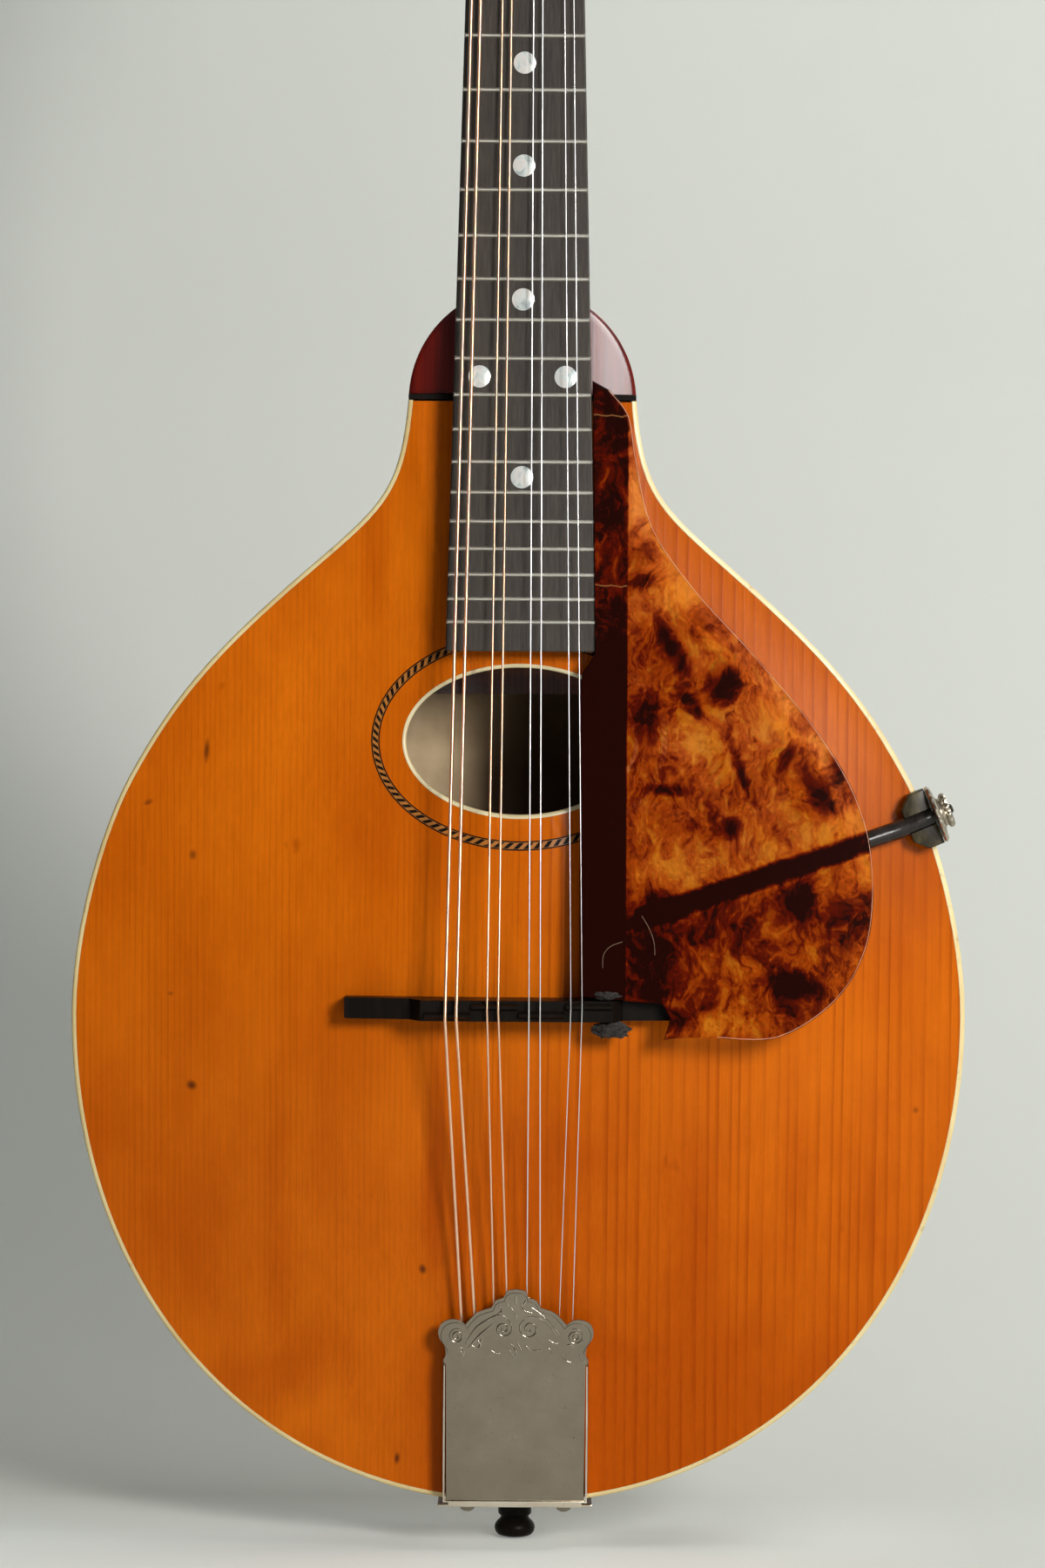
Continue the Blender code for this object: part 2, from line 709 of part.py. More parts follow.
def build_neck_block():
    """The block under the shoulders; its front face shows beside the fingerboard."""
    within = SIDE_THICKNESS + GAP
    path = inset(OUTLINE, within)
    low = part_of_path(path, NECK_BLOCK_LEAST_X, NECK_BLOCK_Z)[-1]
    sides = [low] + [point for point in path if point[1] > NECK_BLOCK_Z]
    ring = sides + shoulder(within) + [(-x, z) for x, z in reversed(sides)]
    block = slab("neck_block", [ring], -RIM_Y, RIM_Y)

    start = TOP_END_Z + STRIP_WIDTH + 2 * GAP
    rise = math.asin((start - TOP_END_Z) / SHOULDER_RADIUS)
    turns = [rise + (math.pi - 2 * rise) * i / (2 * SHOULDER_STEPS) for i in range(2 * SHOULDER_STEPS + 1)]
    cap = [along((0.0, TOP_END_Z), angle, SHOULDER_RADIUS) for angle in turns]
    combine(block, slab("block_cap", [cap], MID - PLATE_THICKNESS, MID), "UNION")
    core = [along((0.0, TOP_END_Z), angle, SHOULDER_RADIUS - within) for angle in turns]
    core_low = RIM_Y - PLATE_THICKNESS
    combine(block, slab("block_core", [core], core_low, MID - PLATE_THICKNESS / 2), "UNION")
    combine(block, tenon_box("block_slot", GAP), "DIFFERENCE")
    place(block, "neck_wood")


def build_inside():
    """Tail block, linings and tone bar."""
    within = SIDE_THICKNESS + GAP
    path = inset(OUTLINE, within)
    bottom = [point for point in path if point[0] < TAIL_BLOCK_HALF_WIDTH]
    corner = part_of_path(path, TAIL_BLOCK_HALF_WIDTH, NECK_BLOCK_Z)[0]
    half = bottom + [corner, (TAIL_BLOCK_HALF_WIDTH, TAIL_BLOCK_TOP_Z)]
    block = slab("tail_block", [mirrored(half)], -RIM_Y, RIM_Y)
    place(combine(block, pin_bore("tail_bore"), "DIFFERENCE"), "inner_wood")

    start_x = TAIL_BLOCK_HALF_WIDTH + GAP
    end_z = NECK_BLOCK_Z - GAP
    outer = part_of_path(path, start_x, end_z)
    inner = part_of_path(inset(OUTLINE, within + LINING_WIDTH), start_x, end_z)
    for side, sign in (("treble", 1), ("bass", -1)):
        ring = [(sign * x, z) for x, z in outer + list(reversed(inner))]
        top = slab(f"top_lining_{side}", [ring], RIM_Y - LINING_HEIGHT, RIM_Y)
        back = slab(f"back_lining_{side}", [ring], -RIM_Y, -RIM_Y + LINING_HEIGHT)
        place(top, "inner_wood")
        place(back, "inner_wood")

    sections = []
    for i in range(9):
        share = i / 4 - 1
        x = share * TONE_BAR_HALF_LENGTH
        back = TONE_BAR_BACK_Y - TONE_BAR_TAPER * share ** 2
        low = TONE_BAR_Z - TONE_BAR_WIDTH / 2
        high = TONE_BAR_Z + TONE_BAR_WIDTH / 2
        sections.append([(x, top_inside(x, low) + GAP, low), (x, top_inside(x, high) + GAP, high),
                         (x, back, high), (x, back, low)])
    place(loft("tone_bar", sections), "inner_wood")


# Neck, fingerboard and headstock


def head_frame():
    corner = VENEER_THICKNESS * math.sin(HEAD_TILT)
    face = board_front(NUT_Z) + HEAD_SET_BACK
    origin = Vector((0, face, NUT_Z + GAP + NUT_THICKNESS + GAP + corner))
    return Matrix.Translation(origin) @ Matrix.Rotation(math.radians(90) - HEAD_TILT, 4, "X")


HEAD = head_frame()


def head_outline():
    """The plain paddle: a quick flare above the nut, near-straight sides, a gently arched top."""
    low = (HEAD_HALF_WIDTH_LOW, HEAD_FLARE_Y)
    half = [(HEAD_HALF_WIDTH_AT_NUT, 0.0)]
    half += bezier(half[0], (HEAD_HALF_WIDTH_AT_NUT, HEAD_FLARE_Y * 0.55),
                   (HEAD_HALF_WIDTH_LOW - 0.001, HEAD_FLARE_Y * 0.5), low, 6)
    shoulder_y = HEAD_LENGTH - HEAD_CROWN
    turns = [HEAD_CORNER_TURN * i / 3 for i in range(4)]
    half += [(HEAD_HALF_WIDTH_TOP - HEAD_CORNER * (1 - math.cos(a)),
              shoulder_y - HEAD_CORNER * (1 - math.sin(a))) for a in turns]
    span = half[-1][0]
    rise = HEAD_LENGTH - half[-1][1]
    crown = [(span * share, half[-1][1] + rise * (1 - share ** 2)) for share in (0.66, 0.33, 0.0)]
    half += crown
    return half + [(-x, y) for x, y in reversed(half[:-1])]


def post_places():
    """Each post's name number, side sign, and place on the headstock."""
    places = []
    for side, sign in (("bass", -1), ("treble", 1)):
        for i in range(POSTS_PER_SIDE):
            places.append((f"{side}_{i + 1}", sign, FIRST_POST_Y + i * POST_SPACING))
    return places


def post_bores(name, low, high):
    """Cutters for all eight posts."""
    rods = []
    for number, sign, y in post_places():
        rods.append(rod(f"bore_{number}", POST_RADIUS + GAP, (sign * POST_X, y, low),
                        (sign * POST_X, y, high), 12, HEAD))
    return gather(name, rods)


def neck_section(z, depth, half_width, power=2.0):
    """One ring of the neck: flat under the board, round behind."""
    front = board_front(z) + BOARD_THICKNESS + GAP
    ring = []
    for i in range(NECK_SIDES + 1):
        angle = math.pi * i / NECK_SIDES
        reach = abs(math.sin(angle)) ** (2 / power)
        ring.append((half_width * math.cos(angle), front + depth * reach, z))
    return ring


def heel_depth(z):
    """Depth of the neck behind the board: even, then swept back into the heel."""
    end = TOP_END_Z + SHOULDER_RADIUS
    even = NECK_DEPTH_AT_NUT + (NUT_Z - z) / (NUT_Z - end) * (NECK_DEPTH_AT_HEEL - NECK_DEPTH_AT_NUT)
    if z >= HEEL_TOP_Z:
        return even
    full = MID - board_front(end) - BOARD_THICKNESS - GAP
    share = min((HEEL_TOP_Z - z) / (HEEL_TOP_Z - end), 1.0)
    return even + (full - even) * share ** HEEL_POWER


def build_neck():
    end = TOP_END_Z + SHOULDER_RADIUS
    sections = [neck_section(HEAD.translation.z + NECK_ROOT_RISE,
                             NECK_DEPTH_AT_NUT * NECK_ROOT_SHARE, board_half_width(NUT_Z))]
    for z in (NUT_Z, (NUT_Z + HEEL_TOP_Z) / 2, HEEL_TOP_Z):
        sections.append(neck_section(z, heel_depth(z), board_half_width(z) - GAP))
    for i in range(1, HEEL_STEPS + 1):
        z = HEEL_TOP_Z + (end - HEEL_TOP_Z) * i / HEEL_STEPS
        sections.append(neck_section(z, heel_depth(z), board_half_width(z) - GAP))
    low = end - SHOULDER_RADIUS * HEEL_LANDING
    sections.append(neck_section(low, MID - board_front(low) - BOARD_THICKNESS - GAP,
                                 board_half_width(low) - GAP))
    neck = loft("neck", sections)
    body = slab("body_cutter", [body_ring(-GAP)], -MID - TONGUE_RISE, MID + GAP)
    combine(neck, body, "DIFFERENCE")

    tongue = []
    for i in range(TONGUE_STEPS + 1):
        z = TONGUE_END_Z + (end + TONGUE_RISE - TONGUE_END_Z) * i / TONGUE_STEPS
        half = board_half_width(z) - TONGUE_INSET
        front = board_front(z) + BOARD_THICKNESS + GAP + OVERLAP / 2
        xs = [half * share for share in (-1, -0.5, 0, 0.5, 1)]
        ring = [(x, front, z) for x in xs]
        ring += [(x, (top_front(x, z) if z < TOP_END_Z else -MID) - GAP, z) for x in reversed(xs)]
        tongue.append(ring)
    combine(neck, loft("tongue", tongue), "UNION")
    tenon = tenon_box("tenon", 0)
    combine(neck, tenon, "UNION")

    head_front = -VENEER_THICKNESS - GAP
    head = slab("head", [head_outline()], head_front - HEAD_THICKNESS, head_front + 2 * GAP, HEAD)
    combine(neck, head, "UNION")
    seat = box("veneer_seat", (*VENEER_SEAT_LOW, head_front), VENEER_SEAT_HIGH, HEAD)
    combine(neck, seat, "DIFFERENCE")
    combine(neck, post_bores("neck_bores", -BORE_REACH, BORE_REACH), "DIFFERENCE")
    place(neck, "neck_wood")

    veneer = slab("headstock_veneer", [head_outline()], -VENEER_THICKNESS, 0, HEAD)
    combine(veneer, post_bores("veneer_bores", -BORE_REACH, BORE_REACH), "DIFFERENCE")
    place(veneer, "ebony")


def build_board():
    """The fingerboard with its frets, from one side profile."""
    front = []
    crown = FRET_WIDTH / 2
    for number in range(FRET_COUNT, 0, -1):
        z = NUT_Z - SCALE_LENGTH * (1 - 2 ** (-number / 12))
        top = board_front(z) - FRET_HEIGHT
        front += [(board_front(z - crown), z - crown), (top, z - crown / 2),
                  (top, z + crown / 2), (board_front(z + crown), z + crown)]
    profile = [(board_front(BOARD_END_Z), BOARD_END_Z), *front, (board_front(NUT_Z), NUT_Z),
               (board_front(NUT_Z) + BOARD_THICKNESS, NUT_Z),
               (board_front(BOARD_END_Z) + BOARD_THICKNESS, BOARD_END_Z)]
    board = slab("fingerboard", [profile], -1, 1, SIDE_TURN)
    for vert in board.data.vertices:
        vert.co.z *= board_half_width(vert.co.y)
    place(board, "ebony")

    back = board_front(NUT_Z) + BOARD_THICKNESS
    half = BOARD_HALF_WIDTH_AT_NUT
    low = NUT_Z + GAP
    place(box("nut", (-half, nut_top(), low), (half, back, low + NUT_THICKNESS)), "bone")


# Tuners


def plate_back():
    """Forward place of the tuner plates' inner face."""
    return -VENEER_THICKNESS - HEAD_THICKNESS - 2 * GAP


def worm_offset():
    return GEAR_RADIUS + WORM_RADIUS + GAP


def gear_middle():
    return plate_back() - PLATE_METAL - GAP - WORM_RADIUS


def build_tuner_plate(side, sign):
    low = plate_back() - PLATE_METAL
    bottom = FIRST_POST_Y - worm_offset() - TUNER_PLATE_MARGIN
    top = FIRST_POST_Y + (POSTS_PER_SIDE - 1) * POST_SPACING + TUNER_PLATE_MARGIN
    x = sign * POST_X
    half = TUNER_PLATE_HALF_WIDTH
    plate = box(f"tuner_plate_{side}", (x - half, bottom, low), (x + half, top, plate_back()), HEAD)
    lugs = []
    bores = []
    for i in range(POSTS_PER_SIDE):
        y = FIRST_POST_Y + i * POST_SPACING - worm_offset()
        for offset in (-LUG_OFFSET, LUG_OFFSET):
            wall = LUG_THICKNESS / 2
            lugs.append(box("lug", (x + offset - wall, y - LUG_HALF_SIZE, gear_middle() - LUG_HALF_SIZE),
                            (x + offset + wall, y + LUG_HALF_SIZE, low + PLATE_METAL / 2), HEAD))
        reach = LUG_OFFSET + LUG_THICKNESS
        bores.append(rod("bore", SHAFT_RADIUS + GAP, (x - reach, y, gear_middle()),
                         (x + reach, y, gear_middle()), 12, HEAD))
    combine(plate, gather(f"lugs_{side}", lugs), "UNION")
    combine(plate, gather(f"shaft_bores_{side}", bores), "DIFFERENCE")
    combine(plate, post_bores(f"plate_bores_{side}", -BORE_REACH, 0.0), "DIFFERENCE")
    place(plate, "nickel")


def build_tuner(number, sign, y):
    gear_top = gear_middle() + GEAR_THICKNESS / 2
    gear_low = gear_middle() - GEAR_THICKNESS / 2
    waist_top = STRING_HEIGHT_ON_POST + POST_WAIST_HALF_LENGTH
    waist_low = STRING_HEIGHT_ON_POST - POST_WAIST_HALF_LENGTH
    post = [(0, POST_HEIGHT), (POST_RADIUS, POST_HEIGHT), (POST_RADIUS, waist_top + POST_WAIST_SLOPE),
            (POST_WAIST_RADIUS, waist_top), (POST_WAIST_RADIUS, waist_low),
            (POST_RADIUS, waist_low - POST_WAIST_SLOPE), (POST_RADIUS, gear_top),
            (GEAR_RADIUS, gear_top), (GEAR_RADIUS, gear_low), (0, gear_low)]
    frame = HEAD @ Matrix.Translation((sign * POST_X, y, 0))
    place(turned(f"tuner_post_{number}", post, 12, frame), "brass")

    spot = Matrix.Translation((sign * POST_X, y - worm_offset(), gear_middle()))
    frame = HEAD @ spot @ Matrix.Rotation(sign * math.radians(90), 4, "Y")
    end = LUG_OFFSET + LUG_THICKNESS
    tip = BUTTON_START + BUTTON_LENGTH * BUTTON_BORE_SHARE
    worm = [(0, tip), (SHAFT_RADIUS, tip), (SHAFT_RADIUS, WORM_LENGTH / 2),
            (WORM_RADIUS, WORM_LENGTH / 2), (WORM_RADIUS, -WORM_LENGTH / 2),
            (SHAFT_RADIUS, -WORM_LENGTH / 2), (SHAFT_RADIUS, -end), (0, -end)]
    place(turned(f"tuner_worm_{number}", worm, 10, frame), "nickel")

    mesh = bmesh.new()
    bmesh.ops.create_uvsphere(mesh, u_segments=10, v_segments=6, radius=0.5)
    shape = Matrix.Diagonal((BUTTON_THICKNESS, BUTTON_WIDTH, BUTTON_LENGTH, 1))
    middle = Matrix.Translation((0, 0, BUTTON_START + BUTTON_LENGTH / 2))
    bmesh.ops.transform(mesh, matrix=middle @ shape, verts=mesh.verts)
    button = from_bmesh(f"tuner_button_{number}", mesh, frame)
    bore = rod(f"button_bore_{number}", SHAFT_RADIUS + GAP, (0, 0, BUTTON_BORE_START),
               (0, 0, tip + GAP), 10, frame)
    place(combine(button, bore, "DIFFERENCE"), "ivoroid")


def build_tuners():
    for side, sign in (("bass", -1), ("treble", 1)):
        build_tuner_plate(side, sign)
    for number, sign, y in post_places():
        build_tuner(number, sign, y)


# Strings


def string_places(where):
    """The eight x places at the hooks, the bridge or the nut, bass to treble."""
    places = []
    for pair in range(4):
        middle = PAIR_SHIFT[where] + (pair - 1.5) * PAIR_PITCH[where]
        places += [middle - PAIR_HALF_GAP[where], middle + PAIR_HALF_GAP[where]]
    return places


def build_strings():
    posts = {number: (sign, y) for number, sign, y in post_places()}
    routes = zip(string_places("hook"), string_places("bridge"), string_places("nut"), POST_FOR_STRING)
    for i, (hook_x, bridge_x, nut_x, number) in enumerate(routes):
        radius = STRING_RADII[i // 2]
        sign, post_y = posts[number]
        hook = Vector((hook_x, HOOK_Y, HOOK_Z + HOOK_RADIUS + GAP))
        bridge = Vector((bridge_x, SADDLE_TOP_Y - GAP - radius, BRIDGE_Z + SADDLE_SHIFTS[i // 2]))
        over_nut = nut_top() - GAP - radius
        nut = Vector((nut_x, over_nut, NUT_Z + GAP))
        nut_end = Vector((nut_x, over_nut, NUT_Z + NUT_THICKNESS))
        clear = POST_WAIST_RADIUS + GAP + radius
        end = HEAD @ Vector((sign * (POST_X - clear), post_y, STRING_HEIGHT_ON_POST))
        points = [hook, hook.lerp(bridge, 0.5), bridge, bridge.lerp(nut, 0.33),
                  bridge.lerp(nut, 0.67), nut, nut_end, end]
        string = tube(f"string_{i + 1}", points, [radius] * len(points), 1)
        place(string, "wound_string" if i < 4 else "plain_string")


# Bridge


def build_bridge():
    """The bridge: feet on the arch, low ends, a raised middle with stepped saddles."""
    half = BRIDGE_HALF_LENGTH
    body_top = SADDLE_TOP_Y + SADDLE_HEIGHT
    xs = [half * i / 6 for i in range(-6, 7)]
    edge = SADDLE_HALF_LENGTH
    low_y = BRIDGE_FOOT_TOP_Y - BRIDGE_FOOT_DROP
    shape = [(-half, BRIDGE_FOOT_TOP_Y), (-edge - BRIDGE_SLANTS[0], low_y),
             (-edge - BRIDGE_SLANTS[1], body_top), (edge, body_top), (edge + BRIDGE_SLANTS[2], low_y),
             (half, BRIDGE_FOOT_TOP_Y)]
    low = BRIDGE_Z - BRIDGE_WIDTH / 2
    high = BRIDGE_Z + BRIDGE_WIDTH / 2
    floor = [(x, min(top_front(x, low), top_front(x, high)) - GAP) for x in reversed(xs)]
    ring = [(x, y) for x, y in shape + floor]
    bridge = slab("bridge", [ring], low, high, Matrix())
    span = 2 * edge / len(SADDLE_SHIFTS)
    steps = []
    for i, shift in enumerate(SADDLE_SHIFTS):
        x = -edge + i * span
        middle = BRIDGE_Z + shift
        steps.append(box("step", (x + GAP, SADDLE_TOP_Y, middle - SADDLE_WIDTH / 2),
                         (x + span - GAP, body_top + SADDLE_ROOT, middle + SADDLE_WIDTH / 2)))
    combine(bridge, gather("saddle_steps", steps), "UNION")
    place(bridge, "ebony")


# Pickguard, its strip, arm and rim clamp


def smooth(points, steps):
    """A smooth curve through the points."""
    result = []
    for i in range(len(points) - 1):
        p0 = points[max(i - 1, 0)]
        p1, p2 = points[i], points[i + 1]
        p3 = points[min(i + 2, len(points) - 1)]
        for k in range(steps):
            t = k / steps
            result.append(tuple(
                0.5 * (2 * b + (c - a) * t + (2 * a - 5 * b + 4 * c - d) * t ** 2
                       + (3 * b - a - 3 * c + d) * t ** 3)
                for a, b, c, d in zip(p0, p1, p2, p3)
            ))
    return result + [points[-1]]


def guard_frame():
    origin = Vector((0, guard_front(0), 0))
    return Matrix.Translation(origin) @ Matrix.Rotation(math.radians(90) - GUARD_SLOPE, 4, "X")


def on_guard(points):
    """Plan points as points of the guard's sloping plane."""
    return [(x, z / math.cos(GUARD_SLOPE)) for x, z in points]


def guard_left_edge(margin):
    """The straight side: beside the fingerboard, then in to its lower stretch."""
    lower = [(x + margin, z) for x, z in GUARD_LEFT]
    lower[0] = (lower[0][0], lower[0][1] + margin)
    top_z = GUARD_TOP_Z - margin * 3
    beside = GAP + margin
    return [*lower, (board_half_width(BOARD_END_Z) + beside, BOARD_END_Z - 2 * OVERLAP),
            (board_half_width(top_z) + beside, top_z)]


def build_guard():
    outline = guard_left_edge(0) + [GUARD_CORNER] + smooth(GUARD_EDGE, 3) + GUARD_TIP
    frame = guard_frame()
    place(slab("pickguard", [on_guard(outline)], -GUARD_THICKNESS, 0, frame), "tortoiseshell")
    left = guard_left_edge(GAP)
    right = [*STRIP_RIGHT, (STRIP_RIGHT_X, left[0][1])]
    high = -GUARD_THICKNESS - GAP
    strip = slab("guard_strip", [on_guard(left + right)], high - STRIP_THICKNESS, high, frame)
    place(strip, "hard_rubber")


def clamp_frame():
    """On the rim at the clamp's height, turned to the outline's outward normal there."""
    for (ax, az), (bx, bz) in zip(OUTLINE, OUTLINE[1:]):
        if az >= WIDEST_Z and az < CLAMP_Z <= bz:
            share = (CLAMP_Z - az) / (bz - az)
            x = ax + share * (bx - ax)
            angle = math.atan2(ax - bx, bz - az)
            break
    spot = Matrix.Translation((x, 0, CLAMP_Z))
    return spot @ BODY_TURN @ Matrix.Rotation(angle, 4, "Z")


def build_clamp():
    frame = clamp_frame()
    strip_middle = guard_front(ARM_START_Z) + GUARD_THICKNESS + GAP + STRIP_THICKNESS / 2
    start = Vector((STRIP_RIGHT_X + GAP + ARM_THIN_RADIUS * ARM_LEAN, strip_middle, ARM_START_Z))
    entry = frame @ Vector((-JAW_REACH - ARM_ENTRY, 0, CLAMP_AXIS_FORWARD))
    shoulder_end = frame @ Vector((JAW_WALL + GAP, 0, CLAMP_AXIS_FORWARD))
    arm = tube("guard_arm", [start, start.lerp(entry, 0.5), entry, shoulder_end],
               [ARM_THIN_RADIUS, (ARM_THIN_RADIUS + ARM_THICK_RADIUS) / 2, ARM_THICK_RADIUS,
                ARM_THICK_RADIUS], 3)
    thread_end = JAW_WALL + 3 * GAP + NUT_LENGTH + THREAD_PROUD
    combine(arm, rod("thread", THREAD_RADIUS, (0, 0, CLAMP_AXIS_FORWARD),
                     (thread_end, 0, CLAMP_AXIS_FORWARD), 10, frame), "UNION")
    place(arm, "hard_rubber")

    half = JAW_HALF_LENGTH
    wall_half = half * JAW_WALL_SHARE
    outside = GAP + JAW_WALL
    jaw = box("clamp_jaw", (GAP, -wall_half, -MID - JAW_HOOK - OVERLAP),
              (outside, wall_half, JAW_FRONT), frame)
    tip = half * JAW_TIP_SHARE
    corner = -JAW_REACH * JAW_CORNER_SHARE
    foot = [(-JAW_REACH, -tip), (-JAW_REACH, tip), (corner, half),
            (outside, half), (outside, -half), (corner, -half)]
    foot_low = MID + JAW_CLEARANCE
    combine(jaw, slab("jaw_foot", [foot], foot_low, JAW_FRONT - OVERLAP, frame), "UNION")
    hook_half = wall_half - OVERLAP
    hook = box("jaw_hook", (-JAW_REACH * JAW_HOOK_SHARE, -hook_half, -MID - JAW_HOOK),
               (outside - OVERLAP, hook_half, -MID - JAW_CLEARANCE), frame)
    combine(jaw, hook, "UNION")
    groove = rod("jaw_groove", ARM_THICK_RADIUS + GAP, (GROOVE_REACH[0], 0, CLAMP_AXIS_FORWARD),
                 (GROOVE_REACH[1], 0, CLAMP_AXIS_FORWARD), 16, frame)
    place(combine(jaw, groove, "DIFFERENCE"), "hard_rubber")

    bore = THREAD_RADIUS + GAP
    heights = [NUT_LENGTH * share for share in NUT_STEPS]
    profile = [(bore, NUT_LENGTH), (NUT_OUTER_RADIUS, NUT_LENGTH), (NUT_OUTER_RADIUS, heights[0]),
               (NUT_NECK_RADIUS, heights[1]), (NUT_NECK_RADIUS, heights[2]),
               (NUT_FLANGE_RADIUS, heights[3]), (NUT_FLANGE_RADIUS, 0), (bore, 0)]
    nut_frame = frame @ Matrix.Translation((outside + GAP, 0, CLAMP_AXIS_FORWARD))
    nut_frame = nut_frame @ Matrix.Rotation(math.radians(90), 4, "Y")
    place(turned("clamp_thumb_nut", profile, 18, nut_frame), "nickel")


# Tailpiece and end pin


def base_back(z):
    """The base's inner face, sloping up over the arch."""
    return BASE_BOTTOM_Y - (z - BODY_BOTTOM_Z) * BASE_SLOPE


def build_base():
    wall_top = BODY_BOTTOM_Z - GAP
    wall_low = wall_top - BASE_METAL
    profile = [(base_back(BASE_TOP_Z), BASE_TOP_Z), (base_back(BASE_TOP_Z) - BASE_METAL, BASE_TOP_Z),
               (base_back(wall_low) - BASE_METAL, wall_low), (0.0, wall_low),
               (0.0, wall_top), (base_back(wall_top), wall_top)]
    base = slab("tailpiece_base", [profile], -BASE_HALF_WIDTH, BASE_HALF_WIDTH, SIDE_TURN)
    wall = box("tail_wall", (-TAIL_WALL_HALF_WIDTH, TAIL_WALL_FRONT_Y, wall_low - OVERLAP),
               (TAIL_WALL_HALF_WIDTH, TAIL_WALL_BACK_Y, wall_top - OVERLAP))
    combine(base, wall, "UNION")
    pegs = []
    for x in string_places("hook"):
        pegs.append(rod("peg", HOOK_RADIUS, (x, base_back(HOOK_Z) - BASE_METAL / 2, HOOK_Z),
                        (x, HOOK_Y - HOOK_PROUD, HOOK_Z), 8))
    combine(base, gather("hook_pegs", pegs), "UNION")
    place(combine(base, pin_bore("base_bore"), "DIFFERENCE"), "nickel")


def cover_frame():
    origin = Vector((0, COVER_BOTTOM_Y, COVER_BOTTOM_Z))
    return Matrix.Translation(origin) @ Matrix.Rotation(math.radians(90) + COVER_TILT, 4, "X")


def build_cover():
    """The stamped cover: a scrolled front sheet with two side walls."""
    frame = cover_frame()
    half = [(COVER_HALF_WIDTH, 0.0)] + COVER_EDGE + COVER_SHOULDER + COVER_CREST
    ring = half + [(-x, y) for x, y in reversed(half[:-1])]
    cover = slab("tailpiece_cover", [ring], -COVER_METAL, 0, frame)
    walls = []
    for sign in (-1, 1):
        outer = sign * (COVER_HALF_WIDTH - OVERLAP / 2)
        inner = sign * (COVER_HALF_WIDTH - COVER_METAL)
        ends = ((OVERLAP, BASE_BOTTOM_Y - COVER_BOTTOM_Y), (COVER_WALL_TOP, COVER_WALL_DEPTH))
        sections = [[(inner, y, -COVER_METAL / 2), (outer, y, -COVER_METAL / 2),
                     (outer, y, -depth), (inner, y, -depth)] for y, depth in ends]
        walls.append(loft("cover_wall", sections, frame))
    combine(cover, gather("cover_walls", walls), "UNION")
    place(cover, "nickel")


def build_end_pin():
    collar_top = BODY_BOTTOM_Z - GAP - BASE_METAL - 2 * GAP
    collar_low = collar_top - PIN_COLLAR_HEIGHT
    bulb = [(PIN_BULB_RADIUS * PIN_BULB_SHARES[1], PIN_BULB_Z[3]), (PIN_BULB_RADIUS, PIN_BULB_Z[2]),
            (PIN_BULB_RADIUS, PIN_BULB_Z[1]), (PIN_BULB_RADIUS * PIN_BULB_SHARES[0], PIN_BULB_Z[0])]
    profile = [(0, PIN_LENGTH), (PIN_SHANK_RADIUS * PIN_TAPER, PIN_LENGTH),
               (PIN_SHANK_RADIUS, collar_top), (PIN_COLLAR_RADIUS, collar_top),
               (PIN_COLLAR_RADIUS, collar_low), (PIN_SHANK_RADIUS, collar_low - PIN_GROOVE_HEIGHT),
               *bulb, (PIN_TIP_RADIUS, 0), (0, 0)]
    place(turned("end_pin", profile, 16, Matrix()), "ebony")


build_top()
build_back()
build_rim()
build_neck_block()
build_inside()
build_neck()
build_board()
build_tuners()
build_strings()
build_bridge()
build_guard()
build_clamp()
build_base()
build_cover()
build_end_pin()
print(len(PARTS.objects), "pieces")
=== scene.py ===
import math

import bmesh
import bpy
import numpy as np
from mathutils import Matrix, Vector
from mathutils import noise as lumps


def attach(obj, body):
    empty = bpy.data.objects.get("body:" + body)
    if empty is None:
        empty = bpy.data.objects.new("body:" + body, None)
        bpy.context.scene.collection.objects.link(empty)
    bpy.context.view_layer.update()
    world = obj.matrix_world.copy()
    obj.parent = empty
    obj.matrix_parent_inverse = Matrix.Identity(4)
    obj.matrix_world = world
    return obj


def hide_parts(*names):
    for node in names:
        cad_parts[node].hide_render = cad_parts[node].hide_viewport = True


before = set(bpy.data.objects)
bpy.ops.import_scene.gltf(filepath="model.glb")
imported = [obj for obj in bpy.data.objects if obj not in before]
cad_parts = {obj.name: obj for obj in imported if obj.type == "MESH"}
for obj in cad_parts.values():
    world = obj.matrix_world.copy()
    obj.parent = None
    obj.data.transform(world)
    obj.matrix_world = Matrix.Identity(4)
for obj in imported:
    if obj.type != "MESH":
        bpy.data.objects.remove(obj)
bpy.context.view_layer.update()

print("frame loaded:", len(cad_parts), "solids")

# Metres. +X is the treble side, the front faces -Y, +Z runs up the neck.
# Camera first, at the photograph's own angle

camera = {
    "distance": 1.400,
    "aimHeight": 0.2226,
    "aimAcross": 0.0008,
    "pitch": 2.5,
    "roll": 0.40,
    "focal": 109.26,
    "filmHeight": 36.0,
}


def makeCamera():
    data = bpy.data.cameras.new("photoCamera")
    data.sensor_fit = "VERTICAL"
    data.sensor_height = camera["filmHeight"]
    data.lens = camera["focal"]
    data.clip_start = 0.05
    data.clip_end = 20
    item = bpy.data.objects.new("photoCamera", data)
    bpy.context.scene.collection.objects.link(item)
    pitch = math.radians(camera["pitch"])
    spot = Vector((camera["aimAcross"], -camera["distance"] * math.cos(pitch),
                   camera["aimHeight"] + camera["distance"] * math.sin(pitch)))
    turn = Matrix.Rotation(math.radians(90) - pitch, 4, "X")
    roll = Matrix.Rotation(math.radians(camera["roll"]), 4, "Z")
    item.matrix_world = Matrix.Translation(spot) @ turn @ roll
    bpy.context.scene.camera = item


makeCamera()

# Mesh tools


def turned(degrees, axis):
    return Matrix.Rotation(math.radians(degrees), 4, axis)


def roundTurns(count):
    return [2 * math.pi * k / count for k in range(count)]


